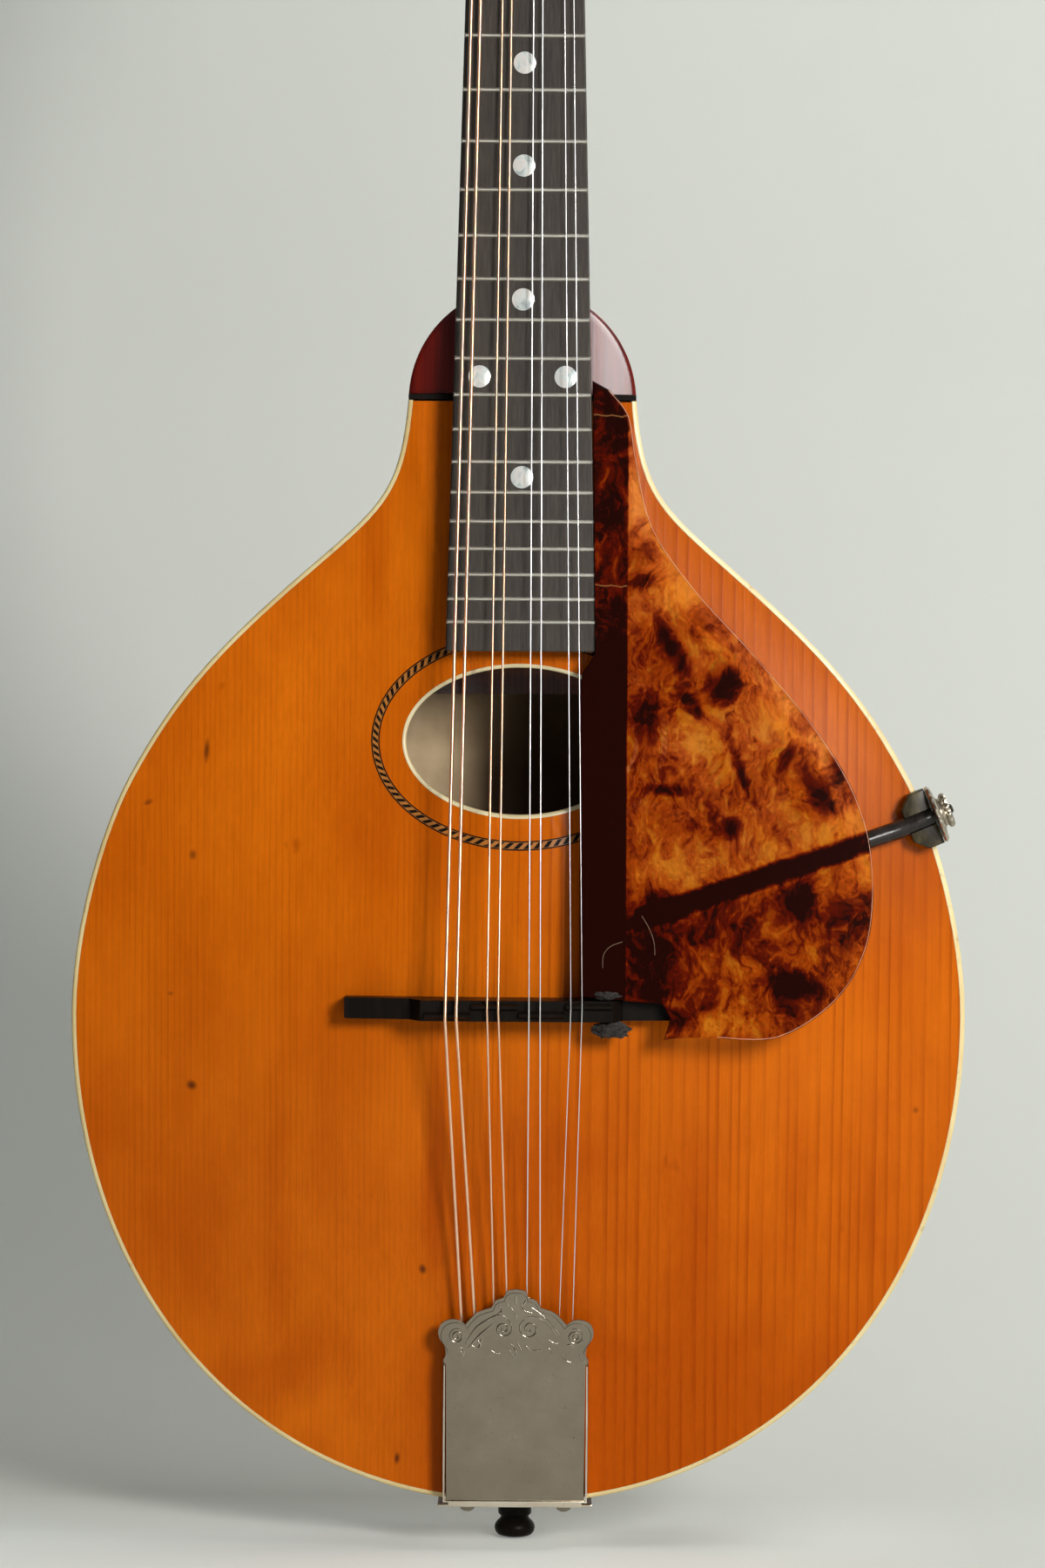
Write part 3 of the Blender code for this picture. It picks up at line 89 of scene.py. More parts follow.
def skin(bm, rings, around=False):
    # faces from ring to ring; a ring may be a single point
    pairs = list(zip(rings, rings[1:]))
    if around:
        pairs.append((rings[-1], rings[0]))
    for low, high in pairs:
        count = max(len(low), len(high))
        for k in range(count):
            n = (k + 1) % count
            if len(low) == 1:
                bm.faces.new((low[0], high[k], high[n]))
            elif len(high) == 1:
                bm.faces.new((low[k], low[n], high[0]))
            else:
                bm.faces.new((low[k], low[n], high[n], high[k]))


def cap(bm, rings):
    return [bm.faces.new(list(reversed(rings[0]))), bm.faces.new(rings[-1])]


def sweep(bm, points, radius, sides=12, closed=False):
    # a round bar along a line, with one radius or one for each point
    points = [Vector(point) for point in points]
    count = len(points)
    radii = radius if hasattr(radius, "__len__") else [radius] * count
    normal = None
    rings = []
    for i, point in enumerate(points):
        before = points[i - 1] if closed or i else points[0]
        after = points[(i + 1) % count] if closed or i < count - 1 else points[-1]
        along = (after - before).normalized()
        if normal is None:
            normal = Vector((0, 1, 0)) if abs(along.y) < 0.9 else Vector((1, 0, 0))
        normal = (normal - along * normal.dot(along)).normalized()
        side = along.cross(normal)
        rings.append([bm.verts.new(point + (normal * math.cos(turn) + side * math.sin(turn)) * radii[i])
                      for turn in roundTurns(sides)])
    skin(bm, rings, closed)
    if not closed:
        cap(bm, rings)


def lathe(bm, profile, sides, matrix, ripple=None):
    # profile is (radius, height) points; an open tube closes on itself
    rings = []
    for radius, height in profile:
        if radius == 0:
            rings.append([bm.verts.new(matrix @ Vector((0, 0, height)))])
            continue
        ring = []
        for angle in roundTurns(sides):
            reach = radius + (ripple(angle, radius) if ripple else 0)
            x, y = reach * math.cos(angle), reach * math.sin(angle)
            ring.append(bm.verts.new(matrix @ Vector((x, y, height))))
        rings.append(ring)
    skin(bm, rings, bool(profile[0][0] and profile[-1][0]))


def rounded(bm, edges, width, segments=2):
    bmesh.ops.bevel(bm, geom=edges, offset=width, offset_type="OFFSET", segments=segments,
                    profile=0.5, affect="EDGES", clamp_overlap=True)


def prism(bm, ring, low, high, matrix=Matrix(), edge=0.0, segments=2):
    # a flat outline from low to high along its own z, with rounded edges
    rings = [[bm.verts.new(matrix @ Vector((x, y, z))) for x, y in ring] for z in (low, high)]
    caps = cap(bm, rings)
    skin(bm, rings)
    if edge:
        rounded(bm, list({item for face in caps for item in face.edges}), edge, segments)


def brick(bm, low, high, matrix=Matrix(), edge=0.0):
    made = bmesh.new()
    prism(made, [(low[0], low[1]), (high[0], low[1]), (high[0], high[1]), (low[0], high[1])], low[2], high[2])
    if edge:
        rounded(made, list(made.edges), edge)
    bmesh.ops.transform(made, matrix=matrix, verts=made.verts)
    addTo(bm, made)


def addTo(bm, made):
    keep = bpy.data.meshes.new("passing")
    made.to_mesh(keep)
    made.free()
    bm.from_mesh(keep)
    bpy.data.meshes.remove(keep)


def loft(bm, sections):
    rings = [[bm.verts.new(point) for point in section] for section in sections]
    skin(bm, rings)
    cap(bm, rings)


def between(bm, inner, outer, rows, front, back):
    # a closed ring-shaped plate between two outlines, its faces on two height functions
    sheets = []
    for height in (front, back):
        grid = []
        for share in [row / rows for row in range(rows + 1)]:
            spots = [(ax + (bx - ax) * share, az + (bz - az) * share)
                     for (ax, az), (bx, bz) in zip(inner, outer)]
            grid.append([bm.verts.new((x, height(x, z), z)) for x, z in spots])
        skin(bm, grid)
        sheets.append(grid)
    for end in (0, -1):
        skin(bm, [sheet[end] for sheet in sheets])


def dish(bm, ring, center, shares, front, back):
    # a plate inside a ring, between two height functions
    rims = []
    for height in (front, back):
        grid = []
        for share in shares:
            spots = [(center[0] + share * (x - center[0]), center[1] + share * (z - center[1]))
                     for x, z in ring]
            grid.append([bm.verts.new((x, height(x, z), z)) for x, z in spots])
        skin(bm, [*grid, [bm.verts.new((center[0], height(*center), center[1]))]])
        rims.append(grid[0])
    skin(bm, rims)


def smoothPath(points, steps):
    made = []
    for i in range(len(points) - 1):
        p0 = points[max(i - 1, 0)]
        p1, p2 = points[i], points[i + 1]
        p3 = points[min(i + 2, len(points) - 1)]
        for k in range(steps):
            t = k / steps
            made.append(tuple(0.5 * (2 * b + (c - a) * t + (2 * a - 5 * b + 4 * c - d) * t ** 2
                                     + (3 * b - a - 3 * c + d) * t ** 3)
                              for a, b, c, d in zip(p0, p1, p2, p3)))
    return made + [tuple(points[-1])]


def linked(name, bm):
    # the shape as a new object in the scene
    mesh = bpy.data.meshes.new(name)
    bm.to_mesh(mesh)
    bm.free()
    item = bpy.data.objects.new(name, mesh)
    bpy.context.scene.collection.objects.link(item)
    return item


def addPiece(name, bm, finish, bodyName="instrument", nodes=(), sharp=40, weighted=False):
    bmesh.ops.recalc_face_normals(bm, faces=bm.faces)
    for face in bm.faces:
        face.smooth = True
    limit = math.radians(sharp)
    for item in bm.edges:
        item.smooth = item.calc_face_angle(math.pi) < limit
    piece = linked(name, bm)
    piece.data.materials.append(finishes[finish])
    if weighted:
        change = piece.modifiers.new("evenShading", "WEIGHTED_NORMAL")
        change.keep_sharp = True
    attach(piece, bodyName)
    if nodes:
        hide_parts(*nodes)


def carved(bm, tools):
    # the shape with other shapes joined on or cut away, as (bmesh, operation)
    bmesh.ops.recalc_face_normals(bm, faces=bm.faces)
    blank = linked("blank", bm)
    helpers = []
    for other, operation in tools:
        bmesh.ops.recalc_face_normals(other, faces=other.faces)
        helpers.append(linked("tool", other))
        change = blank.modifiers.new(operation.lower(), "BOOLEAN")
        change.operation = operation
        change.solver = "EXACT"
        change.object = helpers[-1]
    bpy.context.view_layer.update()
    graph = bpy.context.evaluated_depsgraph_get()
    made = bmesh.new()
    made.from_mesh(bpy.data.meshes.new_from_object(blank.evaluated_get(graph)))
    for item in [blank, *helpers]:
        bpy.data.objects.remove(item, do_unlink=True)
    bmesh.ops.remove_doubles(made, verts=made.verts, dist=1e-7)
    return made


# Material tools


class Level:
    # a value on its way through the nodes, with plain arithmetic
    def __init__(self, mix, socket):
        self.mix = mix
        self.socket = socket

    def __add__(self, other):
        return self.mix.calc("ADD", self, other)

    def __sub__(self, other):
        return self.mix.calc("SUBTRACT", self, other)

    def __mul__(self, other):
        return self.mix.calc("MULTIPLY", self, other)

    def __truediv__(self, other):
        return self.mix.calc("DIVIDE", self, other)

    def __abs__(self):
        return self.mix.calc("ABSOLUTE", self)


class Recipe:
    # one material being mixed; every pattern follows the piece's own metres
    sockets = {"color": "Base Color", "roughness": "Roughness", "metal": "Metallic", "coat": "Coat Weight",
               "coatRoughness": "Coat Roughness", "gloss": "Specular IOR Level", "alpha": "Alpha",
               "fuzz": "Sheen Weight"}

    def __init__(self, name):
        self.material = bpy.data.materials.new(name)
        self.material.use_nodes = True
        self.tree = self.material.node_tree
        self.shader = self.tree.nodes["Principled BSDF"]
        self.place = self.tree.nodes.new("ShaderNodeTexCoord").outputs["Object"]

    def node(self, kind, inputs=(), **settings):
        made = self.tree.nodes.new(kind)
        for key, value in settings.items():
            setattr(made, key, value)
        for key, value in inputs:
            self.put(made.inputs[key], value)
        return made

    def put(self, socket, value):
        if isinstance(value, Level):
            value = value.socket
        if isinstance(value, bpy.types.NodeSocket):
            self.tree.links.new(value, socket)
        elif isinstance(value, tuple) and len(value) == 3 and socket.type == "RGBA":
            socket.default_value = (*value, 1.0)
        else:
            socket.default_value = value

    def calc(self, operation, *values, clamp=False):
        made = self.node("ShaderNodeMath", enumerate(values), operation=operation, use_clamp=clamp)
        return Level(self, made.outputs[0])

    def axes(self):
        return [Level(self, item) for item in self.node("ShaderNodeSeparateXYZ", [(0, self.place)]).outputs]

    def noise(self, stretch, detail=2, rough=0.5, warp=0.0, base=None):
        start = [(0, base or self.place), (1, tuple(stretch))]
        scaled = self.node("ShaderNodeVectorMath", start, operation="MULTIPLY")
        made = self.node("ShaderNodeTexNoise", [("Vector", scaled.outputs[0]), ("Scale", 1.0),
                                                ("Detail", detail), ("Roughness", rough),
                                                ("Distortion", warp)])
        return Level(self, made.outputs["Fac"])

    def ramp(self, value, *stops):
        made = self.node("ShaderNodeValToRGB", [(0, value)])
        elements = made.color_ramp.elements
        while len(elements) < len(stops):
            elements.new(0.5)
        for element, (spot, color) in zip(elements, stops):
            element.position = spot
            element.color = (color, color, color, 1) if isinstance(color, (int, float)) else (*color, 1)
        return Level(self, made.outputs[0])

    def span(self, value, low, high, toLow=0.0, toHigh=1.0):
        made = self.node("ShaderNodeMapRange", enumerate((value, low, high, toLow, toHigh)), clamp=True)
        return Level(self, made.outputs[0])

    def blend(self, factor, first, second, mode="MIX"):
        made = self.node("ShaderNodeMix", data_type="RGBA", blend_type=mode)
        for index, value in ((0, factor), (6, first), (7, second)):
            self.put(made.inputs[index], value)
        return Level(self, made.outputs[2])

    def bump(self, height, distance, strength=1.0):
        made = self.node("ShaderNodeBump", [("Strength", strength), ("Distance", distance),
                                            ("Height", height)])
        self.put(self.shader.inputs["Normal"], made.outputs[0])

    def spots(self, points, base=None):
        # soft marks at (x, z, half width, half height, tilt in degrees, strength) places
        total = None
        for px, pz, wide, tall, tilt, strength in points:
            made = self.node("ShaderNodeMapping", vector_type="TEXTURE")
            for key, value in (("Vector", base or self.place), ("Location", (px, 0, pz)),
                               ("Rotation", (0, math.radians(tilt), 0)), ("Scale", (wide, 1000, tall))):
                self.put(made.inputs[key], value)
            far = self.node("ShaderNodeVectorMath", [(0, made.outputs[0])], operation="LENGTH")
            mark = self.span(far.outputs["Value"], 0.30, 1.0, strength, 0.0)
            total = mark if total is None else self.calc("MAXIMUM", total, mark)
        return total

    def finish(self, **values):
        for key, value in values.items():
            self.put(self.shader.inputs[self.sockets[key]], value)
        return self.material


spruce = {
    "light": (0.70, 0.156, 0.004),
    "deep": (0.46, 0.077, 0.0012),
    "line": (0.25, 0.026, 0.001),
    "mark": (0.055, 0.012, 0.004),
    "wideRings": 3.3,
    "fineRings": 1.75,
    # each (x, z, half width, half height, tilt in degrees, strength)
    "dents": [(-0.0947, 0.2023, 0.0014, 0.0018, 0, 0.7), (-0.0947, 0.1355, 0.0020, 0.0017, 20, 1.0),
              (-0.1078, 0.2174, 0.0018, 0.0010, -25, 0.7), (-0.0909, 0.2325, 0.0010, 0.0042, 4, 0.9),
              (-0.0272, 0.0828, 0.0014, 0.0018, -15, 1.0), (0.1158, 0.1293, 0.0011, 0.0012, 0, 0.6),
              (-0.1010, 0.1620, 0.0012, 0.0008, 0, 0.5), (-0.0345, 0.0262, 0.0010, 0.0022, 5, 1.0)],
    "stains": [(-0.0235, 0.1220, 0.0045, 0.0480, 1, 0.55), (-0.0165, 0.1000, 0.0030, 0.0420, 0, 0.40),
               (0.0060, 0.1180, 0.0180, 0.0420, 0, 0.30), (-0.0420, 0.2950, 0.0050, 0.0500, 0, 0.30),
               (-0.0700, 0.0500, 0.0300, 0.0140, -25, 0.40), (0.0500, 0.0420, 0.0500, 0.0160, 20, 0.45),
               (-0.0700, 0.1000, 0.0060, 0.0500, 0, 0.25), (-0.0250, 0.2100, 0.0060, 0.0300, 0, 0.20),
               (0.0800, 0.1150, 0.0060, 0.0400, 0, 0.25)],
}


def mixSpruce():
    mix = Recipe("amberSpruce")
    x, z = mix.axes()[::2]
    across = x * 1000 + (mix.noise((16, 16, 3.2)) - 0.5) * 4.0
    wide = mix.calc("MAXIMUM", across, 0.0) / spruce["wideRings"]
    fine = mix.calc("MINIMUM", across, 0.0) / spruce["fineRings"]
    uneven = mix.noise((85, 0, 0), 1) * 2.2
    rings = mix.calc("FRACT", wide + fine + (uneven + 200))
    line = mix.ramp(rings, (0.0, 0.05), (0.55, 0.12), (0.82, 0.75), (0.92, 1.0), (1.0, 0.05))
    side = mix.span(across, -25, 25, 0.42, 0.85)
    patchy = mix.span(mix.noise((160, 160, 9)), 0.34, 0.62, 0.25, 1.0)
    strength = line * side * patchy
    cloud = mix.noise((17, 17, 9), 4, 0.6)
    low = mix.span(z, 0.02, 0.20, 0.30, 0.0)
    middle = mix.span(abs(x), 0.012, 0.045, 1.0, 0.0) * mix.span(z, 0.16, 0.10, 0.0, 0.32)
    red = mix.span(x, -0.02, 0.05, 0.0, 0.16)
    depth = mix.calc("ADD", mix.span(cloud, 0.36, 0.66, 0.0, 0.75) + low, middle + red, clamp=True)
    depth = mix.calc("ADD", depth, mix.spots(spruce["stains"]), clamp=True)
    color = mix.blend(depth, spruce["light"], spruce["deep"])
    color = mix.blend(strength * 0.62, color, spruce["line"])
    fibre = mix.noise((1500, 1500, 22), 3)
    flecks = mix.noise((420, 420, 210), 2, 0.5, 1.5)
    shade = mix.span(fibre, 0.3, 0.7, 0.93, 1.04) + mix.span(flecks, 0.3, 0.7, -0.025, 0.03)
    color = mix.blend(1.0, color, mix.ramp(shade * 0.5, (0.0, 0.0), (1.0, 2.0)), "MULTIPLY")
    stain = mix.span(mix.noise((90, 90, 50), 3, 0.6), 0.70, 0.80, 0.0, 0.5)
    color = mix.blend(stain, color, spruce["line"])
    dents = mix.spots(spruce["dents"])
    color = mix.blend(dents * 0.8, color, spruce["mark"])
    mix.bump(line * 0.25 + fibre * 0.35 - dents * 3.0, 0.00012, 0.35)
    return mix.finish(color=color, roughness=mix.span(cloud, 0.3, 0.7, 0.20, 0.28), gloss=0.05)


def mixWood(name, light, dark, along=(700, 700, 14), rough=(0.22, 0.34), gloss=0.3, figure=0.0):
    # a plain stained or bare timber with pores along the grain and optional cross figure
    mix = Recipe(name)
    grain = mix.noise(along, 4, 0.62)
    broad = mix.noise([item / 12 for item in along], 2, 0.5, 0.6)
    share = mix.calc("ADD", mix.span(grain, 0.3, 0.7, 0.0, 0.65), mix.span(broad, 0.3, 0.7, 0.0, 0.45),
                     clamp=True)
    if figure:
        flame = mix.noise((25, 25, 170), 2, 0.5, 0.4)
        share = mix.calc("ADD", share, mix.span(flame, 0.35, 0.65, -figure, figure), clamp=True)
    mix.bump(grain, 0.00008, 0.3)
    return mix.finish(color=mix.blend(share, light, dark), roughness=mix.span(broad, 0.3, 0.7, *rough),
                      gloss=gloss)


def mixIvory(name, light, dark):
    mix = Recipe(name)
    cloud = mix.noise((60, 60, 60), 3)
    lines = mix.noise((30, 1400, 30))
    share = mix.calc("ADD", mix.span(cloud, 0.35, 0.7, 0.0, 0.6), mix.span(lines, 0.45, 0.65, 0.0, 0.35),
                     clamp=True)
    grime = mix.span(mix.noise((260, 260, 260), 3), 0.60, 0.74, 0.0, 0.55)
    mix.bump(cloud, 0.00005, 0.2)
    return mix.finish(color=mix.blend(grime, mix.blend(share, light, dark), (0.34, 0.22, 0.10)),
                      roughness=mix.span(cloud, 0.3, 0.7, 0.28, 0.42))


def mixMetal(name, light, dark, rough=(0.26, 0.42), scratch=0.3):
    mix = Recipe(name)
    cloud = mix.noise((70, 70, 70), 4, 0.6)
    hair = mix.noise((2600, 2600, 160))
    pits = mix.span(mix.noise((900, 900, 900)), 0.68, 0.80, 0.0, 0.5)
    color = mix.blend(pits, mix.blend(mix.span(cloud, 0.3, 0.7), light, dark),
                      tuple(item * 0.35 for item in dark))
    mix.bump(hair + cloud, 0.00004, scratch)
    return mix.finish(color=color, metal=1.0, roughness=mix.span(cloud, 0.3, 0.7, *rough))


tortoise = {
    "amber": (0.95, 0.36, 0.018),
    "orange": (0.46, 0.062, 0.002),
    "red": (0.120, 0.006, 0.0010),
    "black": (0.014, 0.002, 0.0012),
    # from dark to light: where each shade sits, and how much of it covers what is behind
    "stops": (0.38, 0.47, 0.55, 0.64), "alphas": (0.97, 0.78, 0.46, 0.22),
    # each (height, how far right it reaches)
    "cracks": ((0.3299, 0.0500), (0.2811, 0.0304)),
    # patches as in the spruce
    "darkPatches": [(0.0365, 0.2440, 0.0075, 0.0095, 0, 1.0), (0.0578, 0.2531, 0.0078, 0.0074, 0, 1.0),
                    (0.0430, 0.2640, 0.0028, 0.0170, -30, 0.8), (0.0346, 0.2834, 0.0070, 0.0040, 0, 0.7),
                    (0.0611, 0.2117, 0.0045, 0.0045, 0, 0.8), (0.0500, 0.2480, 0.0024, 0.0100, -35, 0.7),
                    (0.0625, 0.2290, 0.0022, 0.0170, -28, 0.7), (0.0845, 0.2235, 0.0035, 0.0130, -25, 0.8),
                    (0.0765, 0.2310, 0.0028, 0.0080, 15, 0.8), (0.0900, 0.2300, 0.0030, 0.0060, -20, 0.6),
                    (0.0804, 0.1908, 0.0080, 0.0095, 20, 1.0), (0.0770, 0.1674, 0.0120, 0.0060, 15, 1.0),
                    (0.0380, 0.1700, 0.0100, 0.0160, 0, 0.9), (0.0560, 0.1830, 0.0220, 0.0110, -12, 0.45),
                    (0.0430, 0.2227, 0.0090, 0.0024, 0, 0.7), (0.0940, 0.1850, 0.0080, 0.0150, 20, 0.55),
                    (0.0440, 0.1570, 0.0080, 0.0045, 0, 0.9), (0.0400, 0.1880, 0.0120, 0.0060, -20, 0.9)],
    # a band of painted shade where the arm and its shadow lie under the sheet: its ends, half width and
    # darkening
    "armFrom": (0.0330, 0.1853), "armTo": (0.1130, 0.2128), "armHalf": 0.0029, "armShade": 0.26,
    "lightPatches": [(0.0345, 0.3069, 0.0100, 0.0150, 0, 1.0), (0.0440, 0.2800, 0.0120, 0.0130, 35, 1.0),
                     (0.0385, 0.2700, 0.0060, 0.0060, 0, 0.8), (0.0541, 0.2370, 0.0140, 0.0080, 0, 0.7),
                     (0.0890, 0.2110, 0.0110, 0.0090, 0, 0.9), (0.0690, 0.2430, 0.0110, 0.0070, 30, 0.7),
                     (0.0600, 0.1560, 0.0200, 0.0040, 0, 1.0), (0.0640, 0.1720, 0.0080, 0.0050, 0, 0.8),
                     (0.0450, 0.2000, 0.0130, 0.0080, -15, 0.6), (0.0850, 0.1770, 0.0060, 0.0050, 0, 0.7)],
    "stripEdge": 0.0305,
}


def mixTortoise():
    mix = Recipe("tortoiseshell")
    swirl = mix.node("ShaderNodeTexNoise", [("Vector", mix.place), ("Scale", 60), ("Detail", 4)])
    places = []
    for reach in (0.020, 0.009):
        start = mix.node("ShaderNodeVectorMath", [(0, mix.place), (1, [-reach / 2] * 3)], operation="ADD")
        bent = mix.node("ShaderNodeVectorMath", operation="MULTIPLY_ADD")
        for index, value in enumerate((swirl.outputs["Color"], [reach] * 3, start.outputs[0])):
            mix.put(bent.inputs[index], value)
        places.append(bent.outputs[0])
    flow, near = places
    x, z = mix.axes()[::2]
    cloud = mix.noise((48, 48, 42), 4, 0.60, 0.4, flow)
    flames = mix.noise((240, 240, 110), 4, 0.64, 0.9, flow)
    veins = mix.noise((620, 620, 300), 3, 0.6, 1.2, flow)
    light = mix.spots(tortoise["lightPatches"], near)
    dark = mix.spots(tortoise["darkPatches"], near)
    tone = cloud * 0.34 + flames * 0.46 + veins * 0.20
    tone = tone + mix.span(z, 0.175, 0.225, -0.004, 0.028) + (light * 0.07 - dark * 0.175)
    # painted shade: the arm with its shadow, and the dark strip, darkest lower down, are darkened into the
    # sheet's colour where they lie under it
    ax, az = tortoise["armFrom"]
    bx, bz = tortoise["armTo"]
    long = math.hypot(bx - ax, bz - az)
    off = abs((x - ax) * ((az - bz) / long) + (z - az) * ((bx - ax) / long))
    half = tortoise["armHalf"]
    arm = mix.span(off, half - 0.0011, half + 0.0007, 1.0, 0.0) * mix.calc("GREATER_THAN", x, ax)
    glued = mix.span(x, tortoise["stripEdge"] - 0.0003, tortoise["stripEdge"] + 0.0003, 1.0, 0.0)
    stripShade = mix.span(mix.noise((90, 90, 45), 3, base=flow), 0.42, 0.70, 0.17, 0.09)
    stripShade = stripShade + mix.span(z, 0.248, 0.272, 0.12, 0.0)
    tone = tone - arm * tortoise["armShade"] - glued * stripShade
    shades = [tortoise[key] for key in ("black", "red", "orange", "amber")]
    color = mix.ramp(tone, *zip(tortoise["stops"], shades))
    clear = mix.ramp(tone, *zip(tortoise["stops"], tortoise["alphas"]))
    crack = None
    wander = (mix.noise((300, 0, 0)) - 0.5) * 0.0022
    for height, reach in tortoise["cracks"]:
        inside = mix.calc("LESS_THAN", x, reach)
        line = mix.span(abs(z - height + wander), 0.00005, 0.00025, 1.0, 0.0) * inside
        crack = line if crack is None else mix.calc("MAXIMUM", crack, line)
    color = mix.blend(crack * 0.8, color, (0.30, 0.13, 0.04))
    clear = mix.calc("MAXIMUM", clear, crack * 0.8)
    mix.bump(mix.noise((55, 55, 55)) - crack, 0.00020, 0.30)
    return mix.finish(color=color, alpha=clear, roughness=0.14, gloss=0.08)


def mixPearl():
    mix = Recipe("motherOfPearl")
    cloud = mix.noise((260, 260, 180), 3, 0.55, 1.2)
    color = mix.ramp(cloud, (0.30, (0.42, 0.47, 0.48)), (0.46, (0.72, 0.78, 0.76)),
                     (0.58, (0.82, 0.78, 0.74)), (0.75, (0.55, 0.62, 0.66)))
    mix.bump(cloud, 0.00006, 0.3)
    return mix.finish(color=color, metal=0.25, roughness=0.22, coat=0.8, coatRoughness=0.05)


def mixString(name, color, dark, pitch, relief):
    # wound strings get their fine turns from the bump, at their real pitch
    mix = Recipe(name)
    share = mix.span(mix.noise((400, 400, 60)), 0.35, 0.7, 0.0, 0.6)
    mix.bump(mix.calc("SINE", mix.axes()[2] * (2 * math.pi / pitch)), 0.00002, relief)
    return mix.finish(color=mix.blend(share, color, dark), metal=1.0,
                      roughness=mix.span(share, 0, 1, 0.30, 0.36))


def mixFelt():
    mix = Recipe("greyFelt")
    fuzz = mix.noise((1100, 1100, 1100), 4, 0.7)
    color = mix.ramp(fuzz, (0.35, (0.007, 0.005, 0.004)), (0.54, (0.018, 0.013, 0.009)),
                     (0.72, (0.055, 0.043, 0.031)))
    mix.bump(fuzz, 0.0006, 0.9)
    return mix.finish(color=color, roughness=0.95, fuzz=0.1)


def mixPaper():
    # painted shade: darker and browner towards the right, where the inside of the hole lies in shadow
    mix = Recipe("labelPaper")
    cloud = mix.noise((45, 45, 45), 4, 0.6)
    color = mix.ramp(cloud, (0.32, (0.46, 0.33, 0.19)), (0.62, (0.66, 0.50, 0.31)))
    holeShade = mix.span(mix.axes()[0] + cloud * 0.006, -0.016, 0.006, 0.0, 0.9)
    mix.bump(mix.noise((700, 700, 700)), 0.00005, 0.3)
    return mix.finish(color=mix.blend(holeShade, color, (0.06, 0.030, 0.014)), roughness=0.85, gloss=0.1)


def mixHorn():
    mix = Recipe("darkHorn")
    cloud = mix.noise((240, 240, 120), 4, 0.6, 0.5)
    color = mix.ramp(cloud, (0.32, (0.010, 0.007, 0.005)), (0.55, (0.050, 0.038, 0.016)),
                     (0.75, (0.12, 0.09, 0.035)))
    mix.bump(cloud, 0.0001, 0.3)
    return mix.finish(color=color, roughness=mix.span(cloud, 0.3, 0.7, 0.26, 0.44), gloss=0.28)


def mixRubber(name="hardRubber", light=(0.030, 0.022, 0.018), dark=(0.009, 0.007, 0.006)):
    mix = Recipe(name)
    cloud = mix.noise((180, 180, 180), 4, 0.6)
    mix.bump(mix.noise((1800, 1800, 400)) + cloud, 0.00005, 0.4)
    return mix.finish(color=mix.blend(mix.span(cloud, 0.35, 0.7), dark, light),
                      roughness=mix.span(cloud, 0.3, 0.7, 0.16, 0.30), gloss=0.4)


finishes = {
    "spruce": mixSpruce(),
    "side": mixWood("stainedMaple", (0.26, 0.055, 0.014), (0.085, 0.014, 0.005), figure=0.35),
    "neck": mixWood("cherryNeck", (0.20, 0.022, 0.010), (0.070, 0.007, 0.004)),
    "shoulder": mixWood("cherryShoulder", (0.19, 0.008, 0.003), (0.060, 0.003, 0.002), rough=(0.22, 0.30),
                        gloss=0.55),
    "inner": mixWood("bareSpruce", (0.62, 0.44, 0.24), (0.42, 0.26, 0.12), rough=(0.6, 0.8), gloss=0.1),
    "ebony": mixWood("ebony", (0.012, 0.008, 0.006), (0.004, 0.003, 0.002), rough=(0.30, 0.42), gloss=0.06),
    "board": mixWood("boardEbony", (0.072, 0.060, 0.050), (0.026, 0.021, 0.018), along=(1500, 1500, 20),
                     rough=(0.30, 0.45), gloss=0.18),
    "amberInlay": mixWood("amberInlay", (0.50, 0.19, 0.03), (0.34, 0.11, 0.015), rough=(0.3, 0.4), gloss=0.3),
    "ivory": mixIvory("ivoroid", (0.82, 0.68, 0.35), (0.68, 0.48, 0.19)),
    "holeIvory": mixIvory("holeIvoroid", (0.78, 0.68, 0.42), (0.62, 0.48, 0.24)),
    "bone": mixIvory("bone", (0.82, 0.78, 0.66), (0.70, 0.62, 0.46)),
    "nickel": mixMetal("wornNickel", (0.285, 0.250, 0.194), (0.228, 0.196, 0.150)),
    "warmNickel": mixMetal("nutNickel", (0.56, 0.51, 0.42), (0.30, 0.26, 0.20), rough=(0.20, 0.34)),
    "brightNickel": mixMetal("edgeNickel", (0.80, 0.74, 0.62), (0.60, 0.53, 0.42), rough=(0.14, 0.26),
                             scratch=0.2),
    "fret": mixMetal("fretNickel", (0.82, 0.80, 0.74), (0.66, 0.63, 0.56), rough=(0.30, 0.42), scratch=0.2),
    # painted shade for the shaded side of the engraved cuts
    "groove": mixMetal("cutShadeNickel", (0.13, 0.11, 0.085), (0.07, 0.06, 0.045), rough=(0.35, 0.5)),
    "brass": mixMetal("wornBrass", (0.66, 0.50, 0.24), (0.42, 0.30, 0.13), rough=(0.25, 0.45)),
    "tortoise": mixTortoise(),
    "pearl": mixPearl(),
    "horn": mixHorn(),
    "rubber": mixRubber(),
    "strip": mixRubber("stripRubber", (0.034, 0.007, 0.004), (0.009, 0.003, 0.002)),
    "wound": mixString("woundString", (0.93, 0.62, 0.42), (0.78, 0.46, 0.28), 0.00026, 0.4),
    "plain": mixString("plainString", (0.88, 0.87, 0.86), (0.74, 0.73, 0.72), 0.00400, 0.05),
    # painted highlight for the guard's free edge
    "rimHighlight": mixIvory("paintedEdgeHighlight", (0.62, 0.30, 0.18), (0.36, 0.11, 0.05)),
    "scratch": mixIvory("paleScratch", (0.42, 0.30, 0.20), (0.26, 0.16, 0.10)),
    "felt": mixFelt(),
    "paper": mixPaper(),
}
print("finishes mixed:", len(finishes))

# The body's outline and arches, on the same values as its solids

